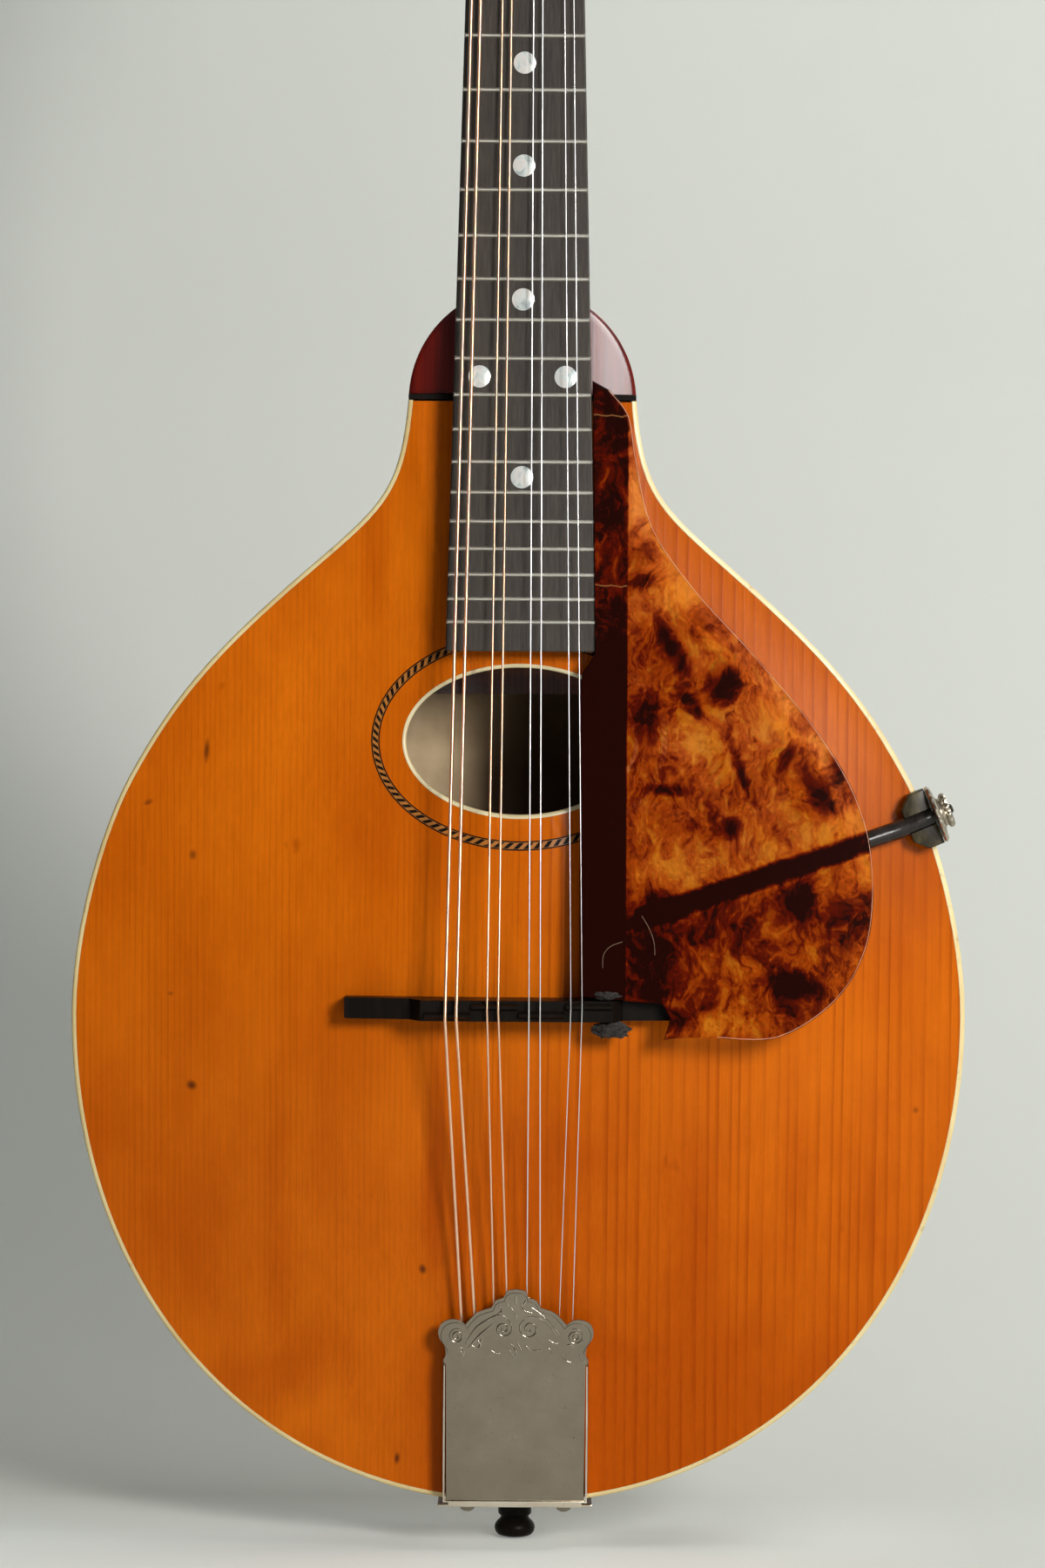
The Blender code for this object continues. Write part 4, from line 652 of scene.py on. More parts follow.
body = {
    "halfWidth": 0.1300, "bottom": 0.0130, "widest": 0.1560,
    "bottomHandle": 0.0760, "sideHandles": (0.0825, 0.0246),
    "bout": (0.1131, 0.2255), "boutAngle": 118.6, "boutHandles": (0.0175, 0.0239),
    "waist": (0.0678, 0.2803), "waistAngle": 138.4, "waistHandles": (0.0309, 0.0347),
    "end": (0.0330, 0.3344), "endAngle": 94.9, "endHandle": 0.0292,
    "depth": 0.0380, "plate": 0.0035, "topArch": 0.0130, "backArch": 0.0110, "archPower": 1.5,
    "backRounding": 0.0009, "roundedWidth": 0.0010,
    "wall": 0.0022, "binding": 0.0014, "stripWidth": 0.0014,
    "steps": (44, 12, 16, 20), "shoulderSteps": 22, "shoulderFall": 0.0030, "tenonHalf": 0.0093,
}
mid = body["depth"] / 2
endX, endZ = body["end"]
center = (0.0, body["widest"])
seam = 0.00005
bodyTurn = turned(90, "X")


def bezier(start, first, second, end, steps):
    made = []
    for step in range(1, steps + 1):
        t = step / steps
        s = 1 - t
        made.append(tuple(s ** 3 * a + 3 * s * s * t * b + 3 * s * t * t * c + t ** 3 * d
                          for a, b, c, d in zip(start, first, second, end)))
    return made


def offsetPoint(point, degrees, distance):
    angle = math.radians(degrees)
    return (point[0] + distance * math.cos(angle), point[1] + distance * math.sin(angle))


def halfOutline():
    low = (0.0, body["bottom"])
    side = (body["halfWidth"], body["widest"])
    steps = body["steps"]
    points = [low]
    points += bezier(low, (body["bottomHandle"], body["bottom"]),
                     (body["halfWidth"], body["widest"] - body["sideHandles"][0]), side, steps[0])
    points += bezier(side, (body["halfWidth"], body["widest"] + body["sideHandles"][1]),
                     offsetPoint(body["bout"], body["boutAngle"], -body["boutHandles"][0]), body["bout"],
                     steps[1])
    points += bezier(body["bout"], offsetPoint(body["bout"], body["boutAngle"], body["boutHandles"][1]),
                     offsetPoint(body["waist"], body["waistAngle"], -body["waistHandles"][0]), body["waist"],
                     steps[2])
    points += bezier(body["waist"], offsetPoint(body["waist"], body["waistAngle"], body["waistHandles"][1]),
                     offsetPoint(body["end"], body["endAngle"], -body["endHandle"]), body["end"], steps[3])
    return points


outline = halfOutline()


def inset(distance):
    moved = []
    last = len(outline) - 1
    for i, (x, z) in enumerate(outline):
        before = outline[max(i - 1, 0)]
        after = outline[min(i + 1, last)]
        dx, dz = (1.0, 0.0) if i == 0 else (after[0] - before[0], after[1] - before[1])
        length = math.hypot(dx, dz)
        moved.append((x - distance * dz / length, z + distance * dx / length))
    moved[-1] = (outline[-1][0] - distance, endZ)
    return moved


def shoulderArc(distance):
    steps = 2 * body["shoulderSteps"]
    return [offsetPoint((0.0, endZ), 180 * i / steps, endX - distance) for i in range(1, steps)]


def bodyRing(distance):
    half = inset(distance)
    return half + shoulderArc(distance) + [(-x, z) for x, z in reversed(half[1:])]


def topRing(distance, gap=0.0003):
    half = inset(distance)
    half[-1] = (half[-1][0], endZ - gap)
    across = [(half[-1][0] * (1 - i / 8), endZ - gap) for i in range(1, 16)]
    return half + across + [(-x, z) for x, z in reversed(half[1:])]


def reachTable(ring):
    pairs = sorted((math.atan2(x - center[0], z - center[1]), math.hypot(x - center[0], z - center[1]))
                   for x, z in ring)
    return np.array([a for a, r in pairs]), np.array([r for a, r in pairs])


topReach = reachTable(topRing(0, 0))
backReach = reachTable(bodyRing(0))


def arch(x, z, reach, height):
    distance = math.hypot(x - center[0], z - center[1])
    angle = math.atan2(x - center[0], z - center[1])
    edge = float(np.interp(angle, *reach, period=2 * math.pi))
    return height * (1 - min(distance / edge, 1.0) ** 2) ** body["archPower"]


def topFront(x, z):
    return -mid - arch(x, z, topReach, body["topArch"])


def topInside(x, z):
    return topFront(x, z) + body["plate"]


def backOutside(x, z):
    return mid + arch(x, z, backReach, body["backArch"])


def backInside(x, z):
    return backOutside(x, z) - body["plate"]


# Soundboard, hole and inlay

hole = {
    "z": 0.2361, "halfWidth": 0.0329, "halfHeight": 0.0212, "binding": 0.0011,
    "rosetteOuter": (0.0430, 0.0314), "rosetteInner": (0.0406, 0.0287),
    "lineWidth": 0.00038, "ropeCount": 92, "ropeSlant": -0.62, "proud": 0.00006,
}


def ellipseToward(points, halfWidth, halfHeight):
    made = []
    for x, z in points:
        angle = math.atan2(z - hole["z"], x)
        reach = 1 / math.sqrt((math.cos(angle) / halfWidth) ** 2 + (math.sin(angle) / halfHeight) ** 2)
        made.append((reach * math.cos(angle), hole["z"] + reach * math.sin(angle)))
    return made


def ellipse(halfWidth, halfHeight, count=160):
    return [(halfWidth * math.cos(a), hole["z"] + halfHeight * math.sin(a)) for a in roundTurns(count)]


def makeSoundboard():
    bm = bmesh.new()
    outer = topRing(body["binding"] + seam)
    grow = hole["binding"] + seam
    inner = ellipseToward(outer, hole["halfWidth"] + grow, hole["halfHeight"] + grow)
    between(bm, inner, outer, 40, topFront, topInside)
    addPiece("soundboard", bm, "spruce", nodes=["top_plate"], sharp=50)

    bm = bmesh.new()
    rounding = 0.0004
    inner = ellipse(hole["halfWidth"], hole["halfHeight"])
    nearInner = ellipse(hole["halfWidth"] + rounding, hole["halfHeight"] + rounding)
    outer = ellipse(hole["halfWidth"] + hole["binding"], hole["halfHeight"] + hole["binding"])
    rows = [(inner, topInside, 0.0), (inner, topFront, rounding * 0.8), (nearInner, topFront, -0.00008),
            (outer, topFront, -0.00004), (outer, topInside, 0.0)]
    lines = [[bm.verts.new((x, height(x, z) + shift, z)) for x, z in ring] for ring, height, shift in rows]
    skin(bm, lines, True)
    addPiece("holeBinding", bm, "holeIvory", nodes=["soundhole_binding"], sharp=60)


def inlayRing(bm, outer, inner, proud, thick=0.0002):
    between(bm, ellipse(*inner), ellipse(*outer), 1,
            lambda x, z: topFront(x, z) - proud, lambda x, z: topFront(x, z) - proud + thick)


def makeRosette():
    outer = hole["rosetteOuter"]
    inner = hole["rosetteInner"]
    wide = hole["lineWidth"]
    bm = bmesh.new()
    inlayRing(bm, outer, (outer[0] - wide, outer[1] - wide), hole["proud"])
    inlayRing(bm, (inner[0] + wide, inner[1] + wide), inner, hole["proud"])
    addPiece("rosetteLines", bm, "ebony", sharp=60)
    bm = bmesh.new()
    inlayRing(bm, (outer[0] - wide, outer[1] - wide), (inner[0] + wide, inner[1] + wide), hole["proud"] * 0.7)
    addPiece("rosetteBand", bm, "amberInlay", sharp=60)
    bm = bmesh.new()
    step = 2 * math.pi / hole["ropeCount"]
    clear = wide + 0.0001
    for i in range(hole["ropeCount"]):
        corners = []
        for share, turn in ((0.0, 0.0), (0.0, 0.5), (1.0, 0.5 + hole["ropeSlant"]), (1.0, hole["ropeSlant"])):
            angle = step * (i + turn)
            a = inner[0] + clear + (outer[0] - inner[0] - 2 * clear) * share
            b = inner[1] + clear + (outer[1] - inner[1] - 2 * clear) * share
            corners.append((a * math.cos(angle), hole["z"] + b * math.sin(angle)))
        top = [bm.verts.new((x, topFront(x, z) - hole["proud"] * 1.2, z)) for x, z in corners]
        low = [bm.verts.new((x, topFront(x, z), z)) for x, z in corners]
        bm.faces.new(top)
        bm.faces.new(list(reversed(low)))
        skin(bm, [top, low])
    addPiece("rosetteRope", bm, "ebony", sharp=30)


def makeEdges():
    # ivory edge of the top: a band with a rounded outer corner
    bm = bmesh.new()
    corner = 0.0007
    front = -mid
    profile = [(body["binding"], front - 0.00004), (corner, front - 0.00004),
               (corner * 0.35, front + corner * 0.25), (0.0, front + corner), (0.0, -mid + body["plate"]),
               (body["binding"], -mid + body["plate"])]
    rows = []
    for distance, y in profile:
        half = inset(distance)
        full = [(-x, z) for x, z in reversed(half[1:])] + half
        rows.append([bm.verts.new((x, y, z)) for x, z in full])
    for line, after in zip(rows, rows[1:] + rows[:1]):
        for a, b, c, d in zip(line, line[1:], after[1:], after):
            bm.faces.new((a, b, c, d))
    bm.faces.new([line[0] for line in rows])
    bm.faces.new([line[-1] for line in reversed(rows)])
    addPiece("edgeBinding", bm, "ivory", nodes=["top_binding"], sharp=50)


makeSoundboard()
makeRosette()
makeEdges()
print("soundboard dressed")

# Sides, back and shoulders


def makeSides():
    bm = bmesh.new()
    reach = mid - body["plate"] - seam
    loops = []
    for distance, y in ((0.0, -reach), (0.0, reach), (body["wall"], reach), (body["wall"], -reach)):
        loops.append([bm.verts.new((x, y, z)) for x, z in bodyRing(distance)])
    skin(bm, loops, True)
    addPiece("bentSides", bm, "side", nodes=["rim"], sharp=60)

    bm = bmesh.new()
    shares = [1.0, 0.992, 0.975, 0.95] + [0.92 - 0.04 * i for i in range(23)]

    def softBack(x, z):
        distance = math.hypot(x - center[0], z - center[1])
        edge = float(np.interp(math.atan2(x, z - center[1]), *backReach, period=2 * math.pi))
        gap = max(edge - distance, 0.0)
        return backOutside(x, z) - body["backRounding"] * max(0.0, 1 - gap / body["roundedWidth"]) ** 2

    dish(bm, bodyRing(0.0), center, shares, softBack, backInside)
    addPiece("archedBack", bm, "side", nodes=["back_plate"], sharp=50)


def makeShoulders():
    start = endZ + body["stripWidth"] + 0.0006
    rise = math.degrees(math.asin((start - endZ) / endX))
    steps = 2 * body["shoulderSteps"]
    turns = [rise + (180 - 2 * rise) * i / steps for i in range(steps + 1)]
    bm = bmesh.new()
    rings = []
    for row, share in enumerate((1.0, 1.0, 0.985, 0.96, 0.92, 0.86, 0.78, 0.68, 0.56, 0.42, 0.25)):
        ring = []
        for turn in turns:
            x, z = offsetPoint((0.0, endZ), turn, endX)
            x, z = x * share, start + (z - start) * share
            edge = min((endX - math.hypot(x, z - endZ)) / 0.0008, 1.0)
            dome = body["shoulderFall"] * (abs(x) / endX) ** 3 + 0.0005 * (1 - edge) ** 2
            ring.append(bm.verts.new((x, -mid + (dome if row else body["plate"]), z)))
        rings.append(ring)
    skin(bm, rings)
    bm.faces.new(rings[0])
    bm.faces.new(rings[-1])
    slot = bmesh.new()
    brick(slot, (-body["tenonHalf"], -0.030, 0.33), (body["tenonHalf"], 0.013, 0.40))
    bm = carved(bm, [(slot, "DIFFERENCE")])
    addPiece("shoulderCap", bm, "shoulder", sharp=35)
    # the block under the cap, glued inside the sides
    within = body["wall"] + 0.0003
    half = [(x, z) for x, z in inset(within) if z > 0.3120]
    ring = half + shoulderArc(within) + [(-x, z) for x, z in reversed(half)]
    bm = bmesh.new()
    reach = mid - body["plate"] - 0.0003
    prism(bm, ring, -reach, reach, bodyTurn)
    slot = bmesh.new()
    brick(slot, (-body["tenonHalf"], -0.030, 0.3457), (body["tenonHalf"], 0.0123, 0.40))
    bm = carved(bm, [(slot, "DIFFERENCE")])
    addPiece("neckBlock", bm, "inner", nodes=["neck_block"], sharp=35)


makeSides()
makeShoulders()
for name in ("tail_block", "top_lining_bass", "top_lining_treble", "back_lining_bass", "back_lining_treble",
             "tone_bar"):
    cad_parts[name].material_slots[0].material = finishes["inner"]
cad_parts["shoulder_strip"].material_slots[0].material = finishes["ebony"]
print("body closed")

# Bare paper label on the inside of the back

label = {"left": -0.0460, "right": 0.0440, "low": 0.1850, "high": 0.2485, "thick": 0.00012}


def makeLabel():
    bm = bmesh.new()
    across, up = 16, 12
    sheets = []
    for lift in (label["thick"] + 0.00005, 0.00005):
        grid = []
        for j in range(up + 1):
            z = label["low"] + (label["high"] - label["low"]) * j / up
            row = []
            for i in range(across + 1):
                x = label["left"] + (label["right"] - label["left"]) * i / across
                row.append(bm.verts.new((x, backInside(x, z) - lift, z)))
            grid.append(row)
        for row, after in zip(grid, grid[1:]):
            for i in range(across):
                bm.faces.new((row[i], row[i + 1], after[i + 1], after[i]))
        sheets.append(grid)
    front, back = sheets
    edges = [(front[0], back[0]), (front[-1], back[-1]),
             ([row[0] for row in front], [row[0] for row in back]),
             ([row[-1] for row in front], [row[-1] for row in back])]
    for a, b in edges:
        for i in range(len(a) - 1):
            bm.faces.new((a[i], a[i + 1], b[i + 1], b[i]))
    addPiece("paperLabel", bm, "paper", sharp=60)


makeLabel()

# Fingerboard, frets, dots and nut

board = {
    "nutZ": 0.5119, "scale": 0.3524, "endZ": 0.2621, "endY": -0.0335, "pitch": 4.2,
    "thick": 0.0050, "halfAtNut": 0.01575, "halfAtEnd": 0.02160, "edge": 0.0004,
    "frets": 20, "fretWidth": 0.0013, "fretHeight": 0.00095,
    "dots": {5: (0.0,), 7: (0.0,), 10: (0.0,), 12: (-0.0124, 0.0124), 15: (0.0,)},
    "dotRadius": 0.0032, "nutThick": 0.0045, "nutProud": 0.00064,
}


def boardFront(z):
    return board["endY"] + (z - board["endZ"]) * math.tan(math.radians(board["pitch"]))


def boardHalf(z):
    share = (board["nutZ"] - z) / (board["nutZ"] - board["endZ"])
    return board["halfAtNut"] + share * (board["halfAtEnd"] - board["halfAtNut"])


def fretPlace(number):
    return board["nutZ"] - board["scale"] * (1 - 2 ** (-number / 12))


def makeBoard():
    bm = bmesh.new()
    sections = []
    edge = board["edge"]
    for z, sink in ((board["endZ"], 0.0005), (board["endZ"] + 0.0005, 0.0), (board["nutZ"], 0.0)):
        half = boardHalf(z) - sink * 0.4
        front = boardFront(z) + sink * 0.6
        back = boardFront(z) + board["thick"]
        sections.append([(half, back, z), (half, front + edge, z), (half - edge * 0.3, front + edge * 0.3, z),
                         (half - edge, front, z), (-half + edge, front, z),
                         (-half + edge * 0.3, front + edge * 0.3, z), (-half, front + edge, z),
                         (-half, back, z)])
    loft(bm, sections)
    addPiece("fingerboardWood", bm, "board", nodes=["fingerboard"], sharp=40, weighted=True)

    bm = bmesh.new()
    tilt = turned(-board["pitch"], "X")
    rise = [(1, 0.18), (0.98, -0.10), (0.80, -0.48), (0.45, -0.84)]
    crown = [(-along, lift) for along, lift in rise] + [(0, -1)] + rise[::-1]
    for number in range(1, board["frets"] + 1):
        z = fretPlace(number)
        half = boardHalf(z) - 0.0001
        sections = []
        for share in (-1, -0.985, 0.985, 1):
            low = 0.35 if abs(share) == 1 else 0.0
            ring = []
            for along, lift in crown:
                spot = tilt @ Vector((0, max(lift, -1 + low) * board["fretHeight"],
                                      along * board["fretWidth"] / 2))
                ring.append((half * share, boardFront(z) + spot.y, z + spot.z))
            sections.append(ring)
        loft(bm, sections)
    addPiece("frets", bm, "fret", sharp=35)

    bm = bmesh.new()
    radius = board["dotRadius"]
    dot = [(0, 0.00006), (radius - 0.0001, 0.00006), (radius, 0.00003), (radius, -0.0004), (0, -0.0004)]
    for number, places in board["dots"].items():
        z = (fretPlace(number - 1) + fretPlace(number)) / 2
        for x in places:
            matrix = Matrix.Translation((x, boardFront(z), z)) @ turned(90 - board["pitch"], "X")
            lathe(bm, dot, 40, matrix)
    addPiece("positionDots", bm, "pearl", sharp=40)


stringSet = {
    "radii": (0.00050, 0.00033, 0.00020, 0.00014),
    "pitch": {"hook": 0.0090, "bridge": 0.01195, "nut": 0.0083},
    "halfGap": {"hook": 0.0020, "bridge": 0.0016, "nut": 0.00125},
    "shift": {"hook": 0.0006, "bridge": -0.0013, "nut": -0.0006},
    "posts": ("bass_1", "bass_2", "bass_3", "bass_4", "treble_4", "treble_3", "treble_2", "treble_1"),
    "saddleShifts": (-0.0014, 0.0012, -0.0010, 0.0014),
    "bridgeZ": 0.1595, "saddleY": -0.0460, "clear": 0.00002,
    "hookZ": 0.0520, "hookY": -0.0262, "hookRadius": 0.0009, "loopHalf": 0.0003,
    "twistTurns": 6, "twistSteps": 60, "twistLength": 0.0085, "coilTurns": 3.4, "coilSteps": 84,
}


def stringPlaces(where):
    made = []
    for pair in range(4):
        middle = stringSet["shift"][where] + (pair - 1.5) * stringSet["pitch"][where]
        made += [middle - stringSet["halfGap"][where], middle + stringSet["halfGap"][where]]
    return made


def makeNut():
    half = board["halfAtNut"]
    front = boardFront(board["nutZ"]) - board["nutProud"]
    back = boardFront(board["nutZ"]) + board["thick"]
    low = board["nutZ"] + 0.0001
    ring = [(-half, -back), (half, -back), (half, -front + 0.0001)]
    for i, x in reversed(list(enumerate(stringPlaces("nut")))):
        radius = stringSet["radii"][i // 2]
        rise = -front + 0.00045
        ring += [(x + radius + 0.00025, rise), (x + radius, -front + 0.00002), (x - radius, -front + 0.00002),
                 (x - radius - 0.00025, rise)]
    ring += [(-half, -front + 0.0001)]
    bm = bmesh.new()
    turn = Matrix(((1, 0, 0, 0), (0, -1, 0, 0), (0, 0, 1, 0), (0, 0, 0, 1)))
    prism(bm, ring, low, low + board["nutThick"] - 0.0001, turn, 0.00012, 2)
    addPiece("boneNut", bm, "bone", nodes=["nut"], sharp=35, weighted=True)


makeBoard()
makeNut()
print("board fretted")

# Neck and headstock

neck = {
    "depthAtNut": 0.0150, "depthAtHeel": 0.0175, "heelTop": 0.4050, "heelPower": 2.6, "sides": 28,
    "tilt": 18.2, "headOrigin": (0.0, -0.011296, 0.5174685), "headLength": 0.1500,
    "halfAtNut": 0.0160, "halfLow": 0.0290, "halfTop": 0.0325, "flareY": 0.0330, "corner": 0.0080,
    "crown": 0.0070,
    "veneer": 0.0015, "headThick": 0.0135, "edge": 0.0009, "stations": (0.49, 0.46, 0.43), "tongueZ": 0.2690,
}
headFrame = Matrix.Translation(neck["headOrigin"]) @ turned(90 - neck["tilt"], "X")
heelEnd = endZ + endX


def neckSection(z, depth, halfWidth):
    front = boardFront(z) + board["thick"] + 0.0001
    sides = neck["sides"]
    turns = [math.pi * i / sides for i in range(sides + 1)]
    return [(halfWidth * math.cos(turn), front + depth * math.sin(turn), z) for turn in turns]


def neckDepth(z):
    share = (board["nutZ"] - z) / (board["nutZ"] - heelEnd)
    even = neck["depthAtNut"] + share * (neck["depthAtHeel"] - neck["depthAtNut"])
    if z >= neck["heelTop"]:
        return even
    full = mid - boardFront(heelEnd) - board["thick"] - 0.0003
    share = min((neck["heelTop"] - z) / (neck["heelTop"] - heelEnd), 1.0)
    return even + (full - even) * share ** neck["heelPower"]


def headOutline():
    low = (neck["halfLow"], neck["flareY"])
    half = [(neck["halfAtNut"], 0.0)]
    half += bezier(half[0], (neck["halfAtNut"], neck["flareY"] * 0.55),
                   (neck["halfLow"] - 0.001, neck["flareY"] * 0.5), low, 14)
    shoulderY = neck["headLength"] - neck["crown"]
    for i in range(9):
        angle = math.radians(75) * i / 8
        half.append((neck["halfTop"] - neck["corner"] * (1 - math.cos(angle)),
                     shoulderY - neck["corner"] * (1 - math.sin(angle))))
    span, top = half[-1]
    rise = neck["headLength"] - top
    half += [(span * (1 - i / 8), top + rise * (1 - (1 - i / 8) ** 2)) for i in range(1, 9)]
    return half + [(-x, y) for x, y in reversed(half[:-1])]


def makeNeck():
    face = -neck["veneer"] - 0.0002
    sections = [neckSection(neck["headOrigin"][2] + 0.012, neck["depthAtNut"] * 0.93, board["halfAtNut"])]
    heel = [neck["heelTop"] + (heelEnd - neck["heelTop"]) * i / 14 for i in range(1, 15)]
    for z in [board["nutZ"], *neck["stations"], neck["heelTop"], *heel]:
        sections.append(neckSection(z, neckDepth(z), boardHalf(z) - 0.0002))
    low = heelEnd - endX * 0.45
    sections.append(neckSection(low, mid - boardFront(low) - board["thick"] - 0.0003,
                                boardHalf(low) - 0.0002))
    bm = bmesh.new()
    loft(bm, sections)
    cutter = bmesh.new()
    prism(cutter, bodyRing(-0.0001), -mid - 0.010, mid + 0.0003, bodyTurn)
    tongue = bmesh.new()
    rings = []
    for i in range(17):
        z = neck["tongueZ"] + (heelEnd + 0.010 - neck["tongueZ"]) * i / 16
        half = boardHalf(z) - 0.0015
        front = boardFront(z) + board["thick"] + 0.00015
        xs = [half * share for share in (-1, -0.6, -0.2, 0.2, 0.6, 1)]
        ring = [(x, front, z) for x in xs]
        ring += [(x, (topFront(x, z) if z < endZ else -mid) - 0.0001, z) for x in reversed(xs)]
        rings.append(ring)
    loft(tongue, rings)
    head = bmesh.new()
    prism(head, headOutline(), face - neck["headThick"], face + 0.0006, headFrame, neck["edge"], 3)
    seat = bmesh.new()
    brick(seat, (-0.05, -0.0004, face), (0.05, 0.2, 0.03), headFrame)
    bm = carved(bm, [(cutter, "DIFFERENCE"), (tongue, "UNION"), (head, "UNION"), (seat, "DIFFERENCE")])
    addPiece("carvedNeck", bm, "neck", nodes=["neck"], sharp=42)

    bm = bmesh.new()
    prism(bm, headOutline(), -neck["veneer"], 0, headFrame, 0.0004, 2)
    addPiece("headFace", bm, "ebony", nodes=["headstock_veneer"], sharp=40, weighted=True)


makeNeck()
print("neck carved")

# Tuners: plates, posts with gears, worms with buttons

tuner = {
    "postX": 0.0170, "firstY": 0.0420, "spacing": 0.0230, "count": 4,
    "postRadius": 0.0030, "waist": 0.0024, "postTop": 0.0130, "stringHeight": 0.0080,
    "gearRoot": 0.0038, "gearTip": 0.0047, "gearThick": 0.0032, "teeth": 14,
    "wormCore": 0.0019, "wormTip": 0.0026, "wormLength": 0.0068, "shaft": 0.0013,
    "metal": 0.0012, "halfPlate": 0.0070, "margin": 0.0090, "lugOffset": 0.0052, "lugThick": 0.0018,
    "lugHalf": 0.0027,
    "screw": 0.0017, "ferruleHole": 0.00318, "threadTurns": 4.5, "threadSteps": 90, "threadHalf": 0.00052,
    "buttonStart": 0.0180, "buttonLength": 0.0120, "buttonWidth": 0.0145, "buttonThick": 0.0072,
}
plateBack = -neck["veneer"] - neck["headThick"] - 0.0006
gearMiddle = plateBack - tuner["metal"] - 0.0003 - tuner["wormTip"]
wormDrop = tuner["gearTip"] + tuner["wormTip"] + 0.0003


def tunerPlaces():
    return [(f"{side}_{i + 1}", sign, tuner["firstY"] + i * tuner["spacing"])
            for side, sign in (("bass", -1), ("treble", 1)) for i in range(tuner["count"])]


def screwHead(bm, matrix, radius=0.0019, height=0.0008):
    made = bmesh.new()
    lathe(made, [(0, height), (radius * 0.5, height * 0.93), (radius * 0.85, height * 0.6), (radius, 0.0001),
                 (radius, -0.0006), (0, -0.0006)], 24, Matrix())
    cut = bmesh.new()
    brick(cut, (-radius * 1.2, -radius * 0.13, height * 0.45), (radius * 1.2, radius * 0.13, height * 2))
    made = carved(made, [(cut, "DIFFERENCE")])
    bmesh.ops.transform(made, matrix=matrix, verts=made.verts)
    addTo(bm, made)


def arc(x, y, wide, tall, degrees):
    return [(x + wide * math.cos(math.radians(a)), y + tall * math.sin(math.radians(a))) for a in degrees]


def makeTunerPlates():
    face = plateBack - tuner["metal"]
    screws = bmesh.new()
    ferrules = bmesh.new()
    for side, sign in (("bass", -1), ("treble", 1)):
        x = sign * tuner["postX"]
        low = tuner["firstY"] - wormDrop - tuner["margin"]
        high = tuner["firstY"] + (tuner["count"] - 1) * tuner["spacing"] + tuner["margin"]
        half = tuner["halfPlate"]
        tip = half * 0.55
        ring = [(x + half, low + tip), (x + half, high - tip),
                *arc(x, high - tip, half, tip, range(15, 180, 15)), (x - half, high - tip),
                (x - half, low + tip), *arc(x, low + tip, half, tip, range(195, 360, 15))]
        bm = bmesh.new()
        prism(bm, ring, face, plateBack, headFrame, 0.0003, 2)
        spots = []
        for i in range(tuner["count"]):
            y = tuner["firstY"] + i * tuner["spacing"] - wormDrop
            for offset in (-tuner["lugOffset"], tuner["lugOffset"]):
                middle = Matrix.Translation((x + offset, y, gearMiddle)) @ turned(90, "Y")
                shell = tuner["lugHalf"]
                foot = -(face - gearMiddle)
                lug = [(foot, -shell), *arc(0, 0, shell, shell, range(-90, 91, 15)), (foot, shell)]
                prism(bm, lug, -tuner["lugThick"] / 2, tuner["lugThick"] / 2, headFrame @ middle, 0.00025, 2)
            spots.append(y + wormDrop + tuner["spacing"] * 0.40)
        for y in [*spots, low + 0.0030]:
            screwHead(screws, headFrame @ Matrix.Translation((x, y, face)) @ turned(180, "Y"), tuner["screw"])
        addPiece(f"tunerPlate_{side}", bm, "nickel", nodes=[f"tuner_plate_{side}"],
                 sharp=35, weighted=True)
    for number, sign, y in tunerPlaces():
        matrix = headFrame @ Matrix.Translation((sign * tuner["postX"], y, 0))
        bore = tuner["ferruleHole"]
        lathe(ferrules, [(bore, 0.0), (0.0048, 0.0), (0.0048, 0.0004), (0.0040, 0.0012), (bore, 0.0013)], 28,
              matrix)
    addPiece("tunerScrews", screws, "brightNickel", sharp=35)
    addPiece("postFerrules", ferrules, "nickel", sharp=35)


def makePost(number, sign, y):
    matrix = headFrame @ Matrix.Translation((sign * tuner["postX"], y, 0))
    radius, waist, top = tuner["postRadius"], tuner["waist"], tuner["postTop"]
    high = gearMiddle + tuner["gearThick"] / 2
    low = gearMiddle - tuner["gearThick"] / 2
    bm = bmesh.new()
    lathe(bm, [(0, top), (radius * 0.55, top - 0.0001), (radius * 0.9, top - 0.0004), (radius, top - 0.0010),
               (radius, 0.0102), (waist, 0.0094), (waist, 0.0046), (radius, 0.0038), (radius, high),
               (0.0016, high - 0.0002), (0, high - 0.0002)], 28, matrix)
    addPiece(f"post_{number}", bm, "nickel", f"post_{number}", [f"tuner_post_{number}"], 35)
    gear = bmesh.new()
    root, tip = tuner["gearRoot"], tuner["gearTip"]
    ring = []
    for tooth in range(tuner["teeth"]):
        for share, reach in ((0.0, root), (0.30, root), (0.42, tip), (0.72, tip), (0.86, root)):
            angle = 2 * math.pi * (tooth + share) / tuner["teeth"]
            ring.append((reach * math.cos(angle), reach * math.sin(angle)))
    prism(gear, ring, low, high, matrix, 0.00012, 1)
    lathe(gear, [(0, low - 0.0007), (0.0010, low - 0.0007), (0.0015, low - 0.0003), (0.0016, low + 0.0002),
                 (0, low + 0.0002)], 20, matrix)
    addPiece(f"gear_{number}", gear, "brass", f"post_{number}", sharp=30)


